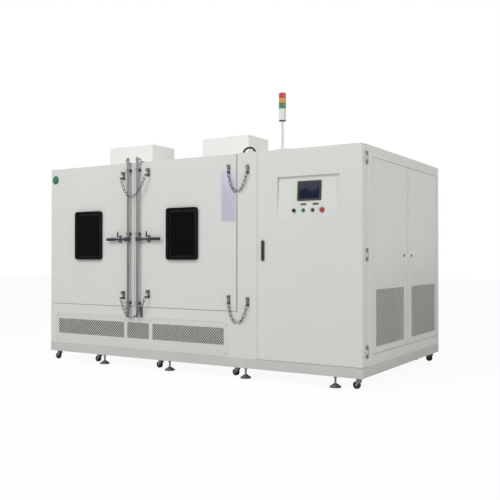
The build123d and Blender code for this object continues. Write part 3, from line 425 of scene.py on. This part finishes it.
def round_boss(name: str, centre: Vector, radius: float, height: float, facing: Facing,
               sides: int = 24, socket: float = 0.0) -> Piece:
    """A round head with an eased rim and, if asked, a sunk socket.

    Args:
        name: the piece's name.
        centre: middle of its back, where it seats.
        radius: in millimetres.
        height: in millimetres.
        facing: which way its face looks.
        sides: how many flats make it round.
        socket: radius of the socket in millimetres.

    Returns:
        The head, in place.
    """
    fresh()
    bpy.ops.mesh.primitive_cylinder_add(vertices=sides, radius=radius * MM, depth=height * MM,
                                        location=(0, 0, height * MM / 2))
    piece = settle(bpy.context.object, name)
    ease(piece, min(radius, height) * HEAD_EASE, BOSS_CORNER_ANGLE)
    if socket:
        pick(piece, "FACE", lambda face: face.normal.z > FACE_UP and face.area > (radius * MM) ** 2)
        sink_picked_faces(radius * HEAD_FLAT - socket, height * SOCKET_DEPTH)
    place_flat(piece, centre, facing)
    return settle(piece, name)


def copies(source: Piece, places: Iterable[Matrix], name: str) -> Piece:
    """Joins copies of a piece that lies round the scene's origin, one at each place, and uses it up."""
    made = []
    for place in places:
        copy = source.copy()
        copy.data = source.data.copy()
        copy.matrix_world = place
        bpy.context.scene.collection.objects.link(copy)
        made.append(copy)
    bpy.data.objects.remove(source)
    return join(made, name)


def screws(name: str, places: Iterable[Vector], facing: Facing, radius: float = 4.5) -> Piece:
    """Socket button screws at a list of places."""
    screw = round_boss("screw", Vector(), radius, radius * SCREW_HEIGHT, facing, SCREW_SIDES,
                       radius * SCREW_SOCKET)
    return copies(screw, [Matrix.Translation(place) for place in places], name)


@dataclass
class Perforation:
    """A field of round holes punched in thin sheet, on a square lattice that stands on its corner."""

    pitch: float = 28.0
    radius: float = 9.0
    thickness: float = 1.5

    def sheet(self, name: str, centre: Vector, width: float, height: float, facing: Facing) -> Piece:
        """Punches one field of a width and height in millimetres, round its centre on the sheet's face."""
        side = self.pitch / math.sqrt(2)
        cells = 2 * (int((width + height) / math.sqrt(2) / side / 2) + 2)
        fresh()
        bpy.ops.mesh.primitive_grid_add(x_subdivisions=cells, y_subdivisions=cells, size=cells * side * MM)
        piece = settle(bpy.context.object, name)
        pick(piece, "VERT", lambda co: max(abs(co.x), abs(co.y)) < (cells / 2 - 0.5) * side * MM)
        bpy.ops.mesh.bevel(offset=self.radius * MM, segments=2, profile=ROUND_PROFILE, affect="VERTICES")
        pick(piece, "FACE", lambda face: len(face.vertices) == 4)
        drop_picked_faces()
        piece.matrix_world = Matrix.Rotation(math.radians(45), 4, "Z")
        settle(piece, name)
        only(piece)
        enter("EDIT")
        for axis, reach in ((0, width / 2), (1, height / 2)):
            for sign in (-1.0, 1.0):
                slice_flat(axis, sign * reach, sign, clear=True)
        enter("OBJECT")
        modify(piece, "SOLIDIFY", thickness=self.thickness * MM, offset=-1.0)
        place_flat(piece, centre, facing)
        return settle(piece, name)


def framed_panel(name: str, low: tuple[float, float], high: tuple[float, float],
                 fields: list[tuple[float, float, float, float]], thickness: float) -> Piece:
    """A flat panel with rectangular openings, drawn face up in millimetres.

    Args:
        name: the piece's name.
        low: lower left corner.
        high: upper right corner.
        fields: openings as left, right, bottom and top.
        thickness: of the panel, below its face.

    Returns:
        The panel, face up, with its face at height zero.
    """
    fresh()
    middle = ((low[0] + high[0]) * MM / 2, (low[1] + high[1]) * MM / 2, 0)
    bpy.ops.mesh.primitive_plane_add(size=1, location=middle)
    piece = bpy.context.object
    piece.scale = Vector(((high[0] - low[0]) * MM, (high[1] - low[1]) * MM, 1))
    settle(piece, name)
    only(piece)
    enter("EDIT")
    for left, right, bottom, top in fields:
        for value, axis in ((left, 0), (right, 0), (bottom, 1), (top, 1)):
            slice_flat(axis, value)
    enter("OBJECT")

    def inside(face: bpy.types.MeshPolygon) -> bool:
        """Whether a face lies in one of the openings."""
        x, y = face.center.x / MM, face.center.y / MM
        return any(left < x < right and bottom < y < top for left, right, bottom, top in fields)

    pick(piece, "FACE", inside)
    drop_picked_faces()
    modify(piece, "SOLIDIFY", thickness=thickness * MM, offset=-1.0)
    return piece


@dataclass
class ChainLinks:
    """Round wire links that stand for a node's faceted ones, each in its own link's place."""

    wire: float = 5.5
    inner_width: float = 17.0
    inner_length: float = 42.0
    smooth_angle: float = 60.0

    def link(self) -> Piece:
        """One welded link, long along X and flat in Z, round the scene's origin."""
        fresh()
        bpy.ops.mesh.primitive_torus_add(major_segments=28, minor_segments=10,
                                         major_radius=(self.inner_width + self.wire) / 2 * MM,
                                         minor_radius=self.wire / 2 * MM)
        piece = settle(bpy.context.object, "link")
        stretch = (self.inner_length - self.inner_width) / 2 * MM
        for sign in (1, -1):
            pick(piece, "VERT", lambda co: co.x * sign > 1e-6)
            bpy.ops.transform.translate(value=(sign * stretch, 0, 0))
        enter("OBJECT")
        return piece

    def places(self, node: str) -> list[Matrix]:
        """One matrix for each link of a chain's node, from the spread of the link's own points."""
        mesh = bmesh.new()
        mesh.from_mesh(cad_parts[node].data)
        bmesh.ops.remove_doubles(mesh, verts=mesh.verts, dist=1e-5)
        waiting, found = set(mesh.verts), []
        while waiting:
            island, edge_of = set(), [waiting.pop()]
            while edge_of:
                vertex = edge_of.pop()
                island.add(vertex)
                near = {line.other_vert(vertex) for line in vertex.link_edges} - island
                edge_of.extend(near & waiting)
                waiting -= near
            points = np.array([vertex.co for vertex in island])
            middle = points.mean(0)
            axes = np.linalg.eigh(np.cov((points - middle).T))[1]
            long, flat = Vector(axes[:, 2]), Vector(axes[:, 0])
            turn = Matrix((long, flat.cross(long), flat)).transposed().to_4x4()
            found.append(Matrix.Translation(Vector(middle)) @ turn)
        mesh.free()
        return found

    def build(self, node: str, body: str) -> None:
        """Replaces one node's links with round wire ones."""
        wires = copies(self.link(), self.places(node), f"{node}_wire")
        piece = finish_piece(wires, CHAIN_ZINC, body, self.smooth_angle)
        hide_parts(node)


@dataclass
class ChamberDoor:
    """The dressing of one insulated door: window trim, lever, screws, collars and chains.

    A face of the trim counts as its front from the height trim_top up.
    """

    side: str
    rod_x: float
    outward: int
    hinge_edge: float
    hinge_side: int
    trim: float = 14.0
    trim_height: float = 3.0
    trim_overlap: float = 2.0
    trim_corner: float = 28.0
    trim_top: float = 2.7
    trim_floor: float = 0.6
    lever_z: float = 1312.0
    rod_y: float = -32.0
    arm_start: float = 46.0
    arm_end: float = 170.0
    arm_height: float = 20.0
    arm_depth: float = 14.0
    grip_end: float = 288.0
    grip_ribs: int = 6
    grip_margin: float = 8.0
    rib_size: tuple[float, float, float] = (5.0, 30.0, 22.0)
    knuckle_side: float = 34.0
    knuckle_depth: float = 15.0
    hub_radius: float = 19.8
    hub_height: float = 42.0
    collar_radius: float = 18.0
    collar_height: float = 8.0
    collar_reach: float = 34.0
    guide_heights: tuple[float, ...] = (661.0, 1366.0, 2015.0)
    guide_reach: float = 18.5
    catch_offset: float = 128.0
    catch_reach: float = 10.0
    catch_z: float = 1284.0
    fitting_face: float = -4.0
    screw_radius: float = 3.6

    @property
    def body(self) -> str:
        """The body that the door's pieces ride on."""
        return f"{self.side}_door"

    def window_trim(self) -> None:
        """A moulded rubber frame that holds the glass in the door's face."""
        low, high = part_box(f"{self.side}_door_window")
        centre = Vector(((low.x + high.x) / 2, CORNER.y, (low.z + high.z) / 2))
        width = (high.x - low.x) / MM + 2 * self.trim_overlap
        height = (high.z - low.z) / MM + 2 * self.trim_overlap
        name = f"{self.side}_window_trim"
        piece = plate(name, Vector(), (width, height, self.trim_height), Facing.UP,
                      corner=self.trim_corner, edge=0.2)
        pick(piece, "FACE", lambda face: face.normal.z > FACE_UP and face.center.z > self.trim_top * MM)
        sink_picked_faces(self.trim, self.trim_height - self.trim_floor)
        pick(piece, "FACE", lambda face: face.normal.z < -FACE_UP)
        drop_picked_faces()

        def sunk(face: bpy.types.MeshPolygon) -> bool:
            """Whether a face is the sunk pane inside the trim."""
            return face.normal.z > FACE_UP and face.center.z < self.trim_height / 2 * MM

        pick(piece, "FACE", sunk)
        drop_picked_faces()
        place_flat(piece, centre, Facing.FRONT)
        finish_piece(settle(piece, name), TRIM_RUBBER, self.body)

    def lever(self) -> None:
        """The painted lever arm's sheath and the ribbed grip, on the rod's body."""
        reach = self.rod_x + self.outward * (self.arm_start + self.arm_end) / 2
        name = f"{self.side}_lever_sheath"
        arm = plate(name, at(reach, self.rod_y + self.arm_depth / 2, self.lever_z),
                    (self.arm_end - self.arm_start, self.arm_height, self.arm_depth), Facing.FRONT,
                    corner=6, edge=1.5)
        finish_piece(arm, NAVY_PAINT, f"{self.side}_rod")
        diamond = plate("diamond", Vector(), (self.knuckle_side, self.knuckle_side, self.knuckle_depth),
                        Facing.UP, corner=3, edge=1)
        diamond.matrix_world = Matrix.Rotation(math.radians(45), 4, "Z")
        spot = at(self.rod_x + self.outward * self.knuckle_side, self.rod_y + self.knuckle_depth / 2,
                  self.lever_z)
        place_flat(diamond, spot, Facing.FRONT)
        hub_foot = at(self.rod_x, self.rod_y, self.lever_z - self.hub_height / 2)
        hub = round_boss("hub", hub_foot, self.hub_radius, self.hub_height, Facing.UP)
        joined = join([diamond, hub], f"{self.side}_lever_knuckle")
        finish_piece(joined, NAVY_PAINT, f"{self.side}_rod")
        step = (self.grip_end - self.arm_end - 2 * self.grip_margin) / (self.grip_ribs - 1)
        ribs = []
        for i in range(self.grip_ribs):
            out = self.outward * (self.arm_end + self.grip_margin + i * step)
            spot = at(self.rod_x + out, self.rod_y + self.rib_size[2] / 2, self.lever_z)
            ribs.append(plate("rib", spot, self.rib_size, Facing.FRONT, corner=1.5, edge=1))
        finish_piece(join(ribs, f"{self.side}_grip_ribs"), BLACK_NYLON, f"{self.side}_rod")

    def fixings(self) -> None:
        """The screws that hold the guides and the catch."""
        guide = [at(self.rod_x + s * self.guide_reach, self.fitting_face, z)
                 for z in self.guide_heights for s in (-1, 1)]
        catch_x = self.rod_x + self.outward * self.catch_offset
        catch = [at(catch_x + s * self.catch_reach, self.fitting_face, self.catch_z) for s in (-1, 1)]
        piece = screws(f"{self.side}_fitting_screws", guide + catch, Facing.FRONT, self.screw_radius)
        finish_piece(piece, BLACK_STEEL, self.body)

    def rod_collars(self) -> None:
        """Clamp collars on the rod above and below its hub."""
        rings = []
        for z in (self.lever_z - self.collar_reach, self.lever_z + self.collar_reach - self.collar_height):
            foot = at(self.rod_x, self.rod_y, z)
            rings.append(round_boss("collar", foot, self.collar_radius, self.collar_height, Facing.UP))
        piece = join(rings, f"{self.side}_rod_collars")
        finish_piece(piece, CAST_BRACKET, f"{self.side}_rod")

    def paint_knuckle_shade(self) -> None:
        """Gives the hinge knuckles on the door's own edge the fixed leaf's darker metal, as painted shade
        that makes the hinge gap read as one dark line.
        """
        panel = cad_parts[f"{self.side}_door_panel"]
        # The darker bracket metal on these knuckles is painted shade of the hinge gap, not their own finish.
        panel.data.materials.append(CAST_BRACKET.material())
        edge = at(self.hinge_edge, 0, 0).x
        for face in panel.data.polygons:
            if (panel.matrix_world @ face.center).x * self.hinge_side > edge * self.hinge_side:
                face.material_index = 1

    def build(self) -> None:
        """Builds everything on the door."""
        self.window_trim()
        self.lever()
        self.fixings()
        self.rod_collars()
        ChainLinks().build(f"{self.side}_door_chains", self.body)
        dress_node(POWDER_COAT, f"{self.side}_door_panel")
        self.paint_knuckle_shade()
        for finish, node in ((DARK_GLASS, "door_window"), (GREY_RUBBER, "door_gasket"),
                             (CAST_BRACKET, "door_fittings"), (ROD_STEEL, "lock_rod"),
                             (BLACK_NYLON, "lever_grip"), (BLACK_STEEL, "catch_finger")):
            dress_node(finish, f"{self.side}_{node}")


@dataclass
class Casework:
    """The body's sheets, the punched front panel and the bare film pieces on the doors."""

    panel_left: float = 86.0
    panel_right: float = 2345.0
    panel_bottom: float = 192.0
    panel_top: float = 512.0
    fields: tuple[tuple[float, float], ...] = ((121.0, 1064.0), (1106.0, 1392.0), (1436.0, 2300.0))
    field_bottom: float = 300.0
    field_top: float = 460.0
    panel_thickness: float = 2.0
    panel_seat: float = 0.4
    field_seat: float = 1.0
    screw_columns: tuple[float, ...] = (110.0, 1085.0, 1414.0, 2322.0)
    screw_rows: tuple[float, ...] = (220.0, 488.0)
    badge: tuple[float, float, float] = (67.0, 1979.0, 47.0)
    badge_thickness: float = 1.2
    sheet: tuple[float, float, float, float] = (2272.0, 2430.0, 1464.0, 1951.0)
    sheet_thickness: float = 0.8

    def front_grille(self) -> None:
        """The panel under the doors, with its three punched fields and corner screws."""
        openings = [(a, b, self.field_bottom, self.field_top) for a, b in self.fields]
        low, high = (self.panel_left, self.panel_bottom), (self.panel_right, self.panel_top)
        panel = framed_panel("panel", low, high, openings, self.panel_thickness)
        panel.matrix_world = Matrix.Translation(at(0, self.panel_seat, 0)) @ Facing.FRONT.value
        parts = [settle(panel, "panel")]
        for left, right, bottom, top in openings:
            centre = at((left + right) / 2, self.field_seat, (bottom + top) / 2)
            parts.append(Perforation().sheet("field", centre, right - left, top - bottom, Facing.FRONT))
        piece = finish_piece(join(parts, "lower_grille_sheet"), GRILLE_COAT, "chamber_body")
        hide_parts("lower_grille_panel")
        places = [at(x, self.panel_seat, z) for x in self.screw_columns for z in self.screw_rows]
        finish_piece(screws("panel_screws", places, Facing.FRONT), DULL_STEEL, "chamber_body")

    def films(self) -> None:
        """The round badge and the laminated sheet, both bare."""
        x, z, radius = self.badge
        badge = round_boss("round_badge", at(x, 0, z), radius, self.badge_thickness, Facing.FRONT, sides=40)
        finish_piece(badge, GREEN_FILM, "left_door")
        left, right, bottom, top = self.sheet
        sheet = plate("laminated_sheet", at((left + right) / 2, 0, (bottom + top) / 2),
                      (right - left, top - bottom, self.sheet_thickness), Facing.FRONT, corner=4, edge=0.2)
        finish_piece(sheet, LILAC_FILM, "right_door")

    def build(self) -> None:
        """Builds and dresses the casework."""
        self.front_grille()
        self.films()
        dress_node(POWDER_COAT, "lower_housing", "chamber_shell", "cabinet_shell")
        # The housings' insides get bare zinc, darkened as painted shade behind the punched holes.
        for node in ("lower_housing", "cabinet_shell"):
            dress_inside(node, SHADED_INNER_ZINC)
        dress_node(BOX_COAT, "roof_boxes")
        dress_node(BASE_COAT, "plinth_frame")
        dress_node(STAINLESS, "chamber_liner", "air_baffle")
        dress_node(MACHINE_ENAMEL, "refrigeration_set", "electrical_backplate")
        dress_node(DULL_STEEL, "fixed_hinge_leaves", "floor_supports")
        dress_node(CAST_BRACKET, "keepers_and_brackets")
        ChainLinks().build("fixed_chains", "chamber_body")


@dataclass
class ServiceDoor:
    """One sheet door on the cabinet's right side, with its punched field."""

    place: str
    field: tuple[float, float]
    field_bottom: float = 339.0
    field_top: float = 843.0
    inset: float = 12.0
    depth: float = 20.0
    fold: float = 1.6
    field_seat: float = 1.5

    def build(self) -> None:
        """Replaces the plain door with a folded one and its fine punching."""
        node = f"side_door_{self.place}"
        low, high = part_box(node)
        back, face = (low.y - CORNER.y) / MM, (high.x - CORNER.x) / MM
        width = (high.y - low.y) / MM
        bottom, top = low.z / MM + self.inset, high.z / MM - self.inset
        opening = (*self.field, self.field_bottom, self.field_top)
        door = framed_panel("door", (back, bottom), (back + width, top), [opening], self.depth)
        ease(door, self.fold)
        door.matrix_world = Matrix.Translation(at(face, 0, 0)) @ Facing.RIGHT.value
        parts = [settle(door, "door")]
        middle = at(face - self.field_seat, sum(self.field) / 2, (self.field_bottom + self.field_top) / 2)
        width, height = self.field[1] - self.field[0], self.field_top - self.field_bottom
        punched = Perforation(pitch=22.0, radius=7.1)
        parts.append(punched.sheet("field", middle, width, height, Facing.RIGHT))
        piece = finish_piece(join(parts, f"{node}_sheet"), POWDER_COAT, node)
        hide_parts(node)
        dress_node(BLACK_NYLON, f"side_lock_{self.place}")


@dataclass
class ControlCabinet:
    """The cabinet door with its display, buttons, plates and handle.

    A face of a bezel counts as its front from the height bezel_top up.
    """

    handle_x: float = 2730.0
    handle_low: float = 1095.0
    handle_high: float = 1282.0
    hinge_heights: tuple[float, ...] = (318.0, 1150.0, 1982.0)
    cover_width: float = 31.0
    cover_depth: float = 10.2
    cover_margin: float = 1.0
    hinge_face: float = 3703.0
    hinge_y: float = 91.5
    leaf_reach: float = 28.0
    screw_steps: tuple[float, ...] = (-38.0, 0.0, 38.0)
    button_centres: tuple[float, ...] = (3050.0, 3142.0, 3234.0, 3326.0)
    button_radii: tuple[float, ...] = (14.0, 13.0, 13.0, 19.0)
    button_z: float = 1543.0
    bezel_margin: float = 4.2
    bezel_height: float = 6.3
    bezel_top: float = 6.2
    bezel_wall: float = 2.4
    bezel_sink: float = 6.0
    glass_size: tuple[float, float, float] = (198.0, 140.0, 0.8)
    glass_lift: float = 6.6
    tag_size: tuple[float, float, float] = (58.0, 17.0, 1.2)
    plate_centres: tuple[float, ...] = (3142.0, 3262.0)
    plate_z: float = 1597.0
    recess_bottom: float = 1478.0
    slope: float = 24.0 / 372.0

    def on_slope(self, piece: Piece, x: float, z: float, lift: float = 0.0) -> Piece:
        """Lays a piece drawn face up on the sloping control plate, lifted off it, all in millimetres."""
        tilt = math.atan(self.slope)
        turn = Matrix.Rotation(math.radians(90) - tilt, 4, "X")
        piece.matrix_world = (Matrix.Translation(at(x, (z - self.recess_bottom) * self.slope, z)) @ turn
                              @ Matrix.Translation((0, 0, lift * MM)))
        return piece

    def display(self) -> None:
        """The display glass inside the touchscreen's frame."""
        low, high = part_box("touchscreen")
        x = ((low.x + high.x) / 2 - CORNER.x) / MM
        z = (low.z + high.z) / 2 / MM
        pane = plate("glass", Vector(), self.glass_size, Facing.UP, corner=2, edge=0.2)
        glass = self.on_slope(pane, x, z, self.glass_lift)
        finish_piece(join([glass], "display_glass"), DISPLAY, "cabinet_door")
        dress_node(BLACK_NYLON, "touchscreen")

    def operators(self) -> None:
        """The bezels round the buttons and the two bare plates over them."""
        rings = []
        for x, radius in zip(self.button_centres, self.button_radii):
            ring = round_boss("ring", Vector(), radius + self.bezel_margin, self.bezel_height, Facing.UP)
            pick(ring, "FACE", lambda face: face.normal.z > FACE_UP and face.center.z > self.bezel_top * MM)
            sink_picked_faces(self.bezel_wall, self.bezel_sink)
            rings.append(self.on_slope(ring, x, self.button_z))
        finish_piece(join(rings, "button_bezels"), BLACK_NYLON, "cabinet_door")
        plates = []
        for x in self.plate_centres:
            tag = plate("tag", Vector(), self.tag_size, Facing.UP, corner=2, edge=0.3)
            plates.append(self.on_slope(tag, x, self.plate_z))
        finish_piece(join(plates, "button_plates"), PLATE_FILM, "cabinet_door")
        for finish, node in ((BLACK_NYLON, "mode_selector"), (BUTTON_GREEN, "start_button"),
                             (BUTTON_DARK, "stop_button"), (BUTTON_RED, "emergency_stop")):
            dress_node(finish, node)

    def handle(self) -> None:
        """The moulded cover over the handle's fixed plate."""
        height = self.handle_high - self.handle_low
        cover = plate("handle_cover", at(self.handle_x, 0, (self.handle_low + self.handle_high) / 2),
                      (self.cover_width, height + self.cover_margin, self.cover_depth), Facing.FRONT,
                      corner=10, edge=1.5)
        finish_piece(cover, BLACK_NYLON, "cabinet_door")
        dress_node(BLACK_NYLON, "cabinet_handle")

    def hinge_screws(self) -> None:
        """The screws in both leaves of the three side hinges."""
        for body, sign in (("cabinet_door", -1), ("chamber_body", 1)):
            y = self.hinge_y + sign * self.leaf_reach
            places = [at(self.hinge_face, y, z + dz) for z in self.hinge_heights for dz in self.screw_steps]
            piece = screws(f"{body}_hinge_screws", places, Facing.RIGHT)
            finish_piece(piece, DULL_STEEL, body)

    def build(self) -> None:
        """Builds and dresses the cabinet's front."""
        self.display()
        self.operators()
        self.handle()
        self.hinge_screws()
        dress_node(POWDER_COAT, "cabinet_door")


@dataclass
class RoofGear:
    """The signal tower's rings, the cable loop and the flanges of the roof boxes."""

    seals: int = 3
    seal_height: float = 3.0
    ring_height: float = 7.0
    ring_drop: float = 113.0
    ring_margin: float = 0.6
    ring_sides: int = 32
    loop_radius: float = 10.5
    gland_radius: float = 16.0
    gland_height: float = 14.0
    roof: float = 2100.0
    boxes: tuple[tuple[float, ...], ...] = ((300.0, 930.0, 620.0, 1020.0), (1600.0, 2180.0, 640.0, 1040.0))
    flange_width: float = 18.0
    flange_thickness: float = 2.0
    screw_inset: float = 40.0

    def tower(self) -> None:
        """Dark seals between the tower's modules and a ring at their foot."""
        low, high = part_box("tower_lens_green")
        centre = (low + high) / 2
        step = high.z - low.z
        radius = (high.x - low.x) / 2 / MM
        reach = radius + self.ring_margin
        rings = []
        for i in range(self.seals):
            spot = Vector((centre.x, centre.y, low.z + i * step - self.seal_height / 2 * MM))
            rings.append(round_boss("seal", spot, reach, self.seal_height, Facing.UP, self.ring_sides))
        foot = Vector((centre.x, centre.y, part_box("tower_stand")[1].z - self.ring_drop * MM))
        rings.append(round_boss("base_ring", foot, reach, self.ring_height, Facing.UP, self.ring_sides))
        finish_piece(join(rings, "tower_seals"), BLACK_NYLON, "chamber_body")
        dress_node(TOWER_WHITE, "tower_stand")
        for finish, colour in ((LENS_GREEN, "green"), (LENS_AMBER, "amber"), (LENS_RED, "red")):
            dress_node(finish, f"tower_lens_{colour}")

    def box_flanges(self) -> None:
        """Folded flanges with screws, where the roof boxes stand on the roof."""
        flanges, places = [], []
        for left, right, front, back in self.boxes:
            middle = (left + right) / 2
            rows = (front - self.flange_width / 2, back + self.flange_width / 2)
            for x in (left + self.screw_inset, middle, right - self.screw_inset):
                places += [at(x, y, self.roof + self.flange_thickness) for y in rows]
            size = (right - left, self.flange_width, self.flange_thickness)
            flanges += [plate("flange", at(middle, y, self.roof), size, Facing.UP, corner=2, edge=0.4)
                        for y in rows]
        finish_piece(join(flanges, "roof_box_flanges"), BOX_COAT, "chamber_body")
        finish_piece(screws("roof_box_screws", places, Facing.UP), DULL_STEEL, "chamber_body")

    def loop_glands(self) -> None:
        """Glands where the cable loop leaves the roof."""
        low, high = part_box("roof_hose")
        y = (low.y + high.y) / 2
        ends = (low.x + self.loop_radius * MM, high.x - self.loop_radius * MM)
        glands = [round_boss("gland", Vector((x, y, low.z)), self.gland_radius, self.gland_height, Facing.UP,
                             sides=6) for x in ends]
        finish_piece(join(glands, "loop_glands"), BLACK_NYLON, "chamber_body")
        dress_node(BLACK_RUBBER, "roof_hose")

    def build(self) -> None:
        """Builds everything on the roof."""
        self.tower()
        self.box_flanges()
        self.loop_glands()


@dataclass
class Undercarriage:
    """The casters' axle nuts, the soles of the foot pads and the caps on the base's long channels."""

    count: int = 7
    nut_radius: float = 7.0
    nut_height: float = 4.5
    pad_columns: tuple[float, ...] = (752.0, 1621.0, 2514.0, 3430.0)
    pad_inset: float = 50.0
    pad_radius: float = 50.3
    pad_height: float = 8.5
    cap_width: float = 70.0
    cap_height: float = 76.0
    cap_depth: float = 2.0
    body_width: float = 3700.0
    sill_middles: tuple[float, float] = (40.0, 2080.0)
    sill_height: float = 145.0

    def end_caps(self) -> None:
        """Welded caps that close the open ends of the two long channels."""
        size = (self.cap_width, self.cap_height, self.cap_depth)
        caps = [plate("cap", at(x, y, self.sill_height), size, Facing.RIGHT, corner=3, edge=0.4)
                for x in (0.0, self.body_width - self.cap_depth) for y in self.sill_middles]
        finish_piece(join(caps, "channel_end_caps"), BASE_COAT, "chamber_body")

    def build(self) -> None:
        """Adds the caps, dresses each caster with its axle nut, and puts soles under the pads."""
        self.end_caps()
        for i in range(1, self.count + 1):
            fork, wheel = f"caster_fork_{i}", f"caster_wheel_{i}"
            dress_node(DULL_STEEL, fork)
            dress_node(TYRE_RUBBER, wheel)
            low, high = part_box(wheel)
            spot = Vector(((low.x + high.x) / 2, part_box(fork)[0].y, (low.z + high.z) / 2))
            nut = round_boss(f"axle_nut_{i}", spot, self.nut_radius, self.nut_height, Facing.FRONT, sides=6)
            finish_piece(nut, BRIGHT_STEEL, f"caster_{i}")
        low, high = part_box("floor_supports")
        pads = []
        for y in (low.y + self.pad_inset * MM, high.y - self.pad_inset * MM):
            for x in self.pad_columns:
                spot = Vector((at(x, 0, 0).x, y, 0))
                pads.append(round_boss("pad", spot, self.pad_radius, self.pad_height, Facing.UP, sides=32))
        finish_piece(join(pads, "foot_pad_soles"), BLACK_RUBBER, "chamber_body")


@dataclass
class Studio:
    """The pale floor, the soft lights and the camera at the photograph's angle."""

    camera_place: tuple[float, float, float] = (6107.6, -5710.4, 1127.4)
    yaw: float = 0.552
    pitch: float = 0.010
    lens: float = 52.29
    sensor: float = 36.0
    floor_size: float = 60.0
    floor_glow: float = 0.94
    room_light: float = 0.38

    def floor(self) -> None:
        """A plain pale floor that isn't part of the object."""
        fresh()
        bpy.ops.mesh.primitive_plane_add(size=self.floor_size)
        piece = settle(bpy.context.object, "studio_floor")
        made = bpy.data.materials.new("pale_studio_floor")
        tree = bare_tree(made)
        matt = add_node(tree, "ShaderNodeBsdfDiffuse", {"Color": linear("#F4F4F3")})
        white = add_node(tree, "ShaderNodeEmission", {"Color": linear("#FFFFFF"), "Strength": 1.0})
        path = add_node(tree, "ShaderNodeLightPath")
        share = add_node(tree, "ShaderNodeMath", {
            0: path.outputs["Is Camera Ray"], 1: self.floor_glow}, operation="MULTIPLY")
        mix = add_node(tree, "ShaderNodeMixShader", {
            0: share.outputs["Value"], 1: matt.outputs["BSDF"], 2: white.outputs["Emission"]})
        add_node(tree, "ShaderNodeOutputMaterial", {"Surface": mix.outputs["Shader"]})
        piece.data.materials.append(made)

    def world(self) -> None:
        """A white room for the camera and reflections, and a soft grey one for light."""
        world = bpy.data.worlds.new("studio")
        bpy.context.scene.world = world
        tree = bare_tree(world)
        path = add_node(tree, "ShaderNodeLightPath")
        seen = add_node(tree, "ShaderNodeMath", {
            0: path.outputs["Is Camera Ray"], 1: path.outputs["Is Transmission Ray"]}, operation="MAXIMUM")
        seen = add_node(tree, "ShaderNodeMath", {
            0: seen.outputs["Value"], 1: path.outputs["Is Glossy Ray"]}, operation="MAXIMUM")
        soft = add_node(tree, "ShaderNodeBackground", {
            "Color": linear("#F2F4F8"), "Strength": self.room_light})
        white = add_node(tree, "ShaderNodeBackground", {"Color": linear("#FFFFFF"), "Strength": 1.0})
        mix = add_node(tree, "ShaderNodeMixShader", {
            0: seen.outputs["Value"], 1: soft.outputs["Background"], 2: white.outputs["Background"]})
        add_node(tree, "ShaderNodeOutputWorld", {"Surface": mix.outputs["Shader"]})

    def lamp(self, name: str, place: Vector, target: Vector, size: float, power: float,
             tint: str = "#FFFFFF") -> None:
        """One soft square lamp that looks at a target."""
        light = bpy.data.lights.new(name, "AREA")
        light.shape = "SQUARE"
        light.size = size
        light.energy = power
        light.color = linear(tint)[:3]
        holder = bpy.data.objects.new(name, light)
        holder.location = place
        holder.rotation_euler = (target - place).to_track_quat("-Z", "Y").to_euler()
        bpy.context.scene.collection.objects.link(holder)

    def camera(self) -> None:
        """The camera where the photograph was taken from."""
        data = bpy.data.cameras.new("photo_camera")
        data.lens = self.lens
        data.sensor_width = self.sensor
        holder = bpy.data.objects.new("photo_camera", data)
        holder.location = at(*self.camera_place)
        holder.rotation_euler = (math.pi / 2 + self.pitch, 0.0, self.yaw)
        bpy.context.scene.collection.objects.link(holder)
        bpy.context.scene.camera = holder

    def build(self) -> None:
        """Sets up everything round the object."""
        self.floor()
        self.world()
        middle = Vector((0, 0, 1.1))
        self.lamp("key_light", Vector((-2.0, -7.5, 7.0)), middle, 5.0, 405)
        self.lamp("fill_light", Vector((8.0, -3.0, 3.5)), middle, 4.0, 140, "#FFF6EA")
        self.lamp("top_light", Vector((0.5, 0.5, 7.0)), middle, 5.0, 150)
        self.camera()
        bpy.context.scene.view_settings.view_transform = "Standard"


def main() -> None:
    """Builds the chamber's looks in order, then the studio."""
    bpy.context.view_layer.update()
    ChamberDoor("left", rod_x=1142.0, outward=-1, hinge_edge=0.2, hinge_side=-1).build()
    ChamberDoor("right", rod_x=1266.0, outward=1, hinge_edge=2442.2, hinge_side=1).build()
    Casework().build()
    ServiceDoor("front", (316.0, 1032.0)).build()
    ServiceDoor("rear", (1246.0, 2002.0)).build()
    ControlCabinet().build()
    RoofGear().build()
    Undercarriage().build()
    Studio().build()
    fresh()


if __name__ == "__main__":
    main()
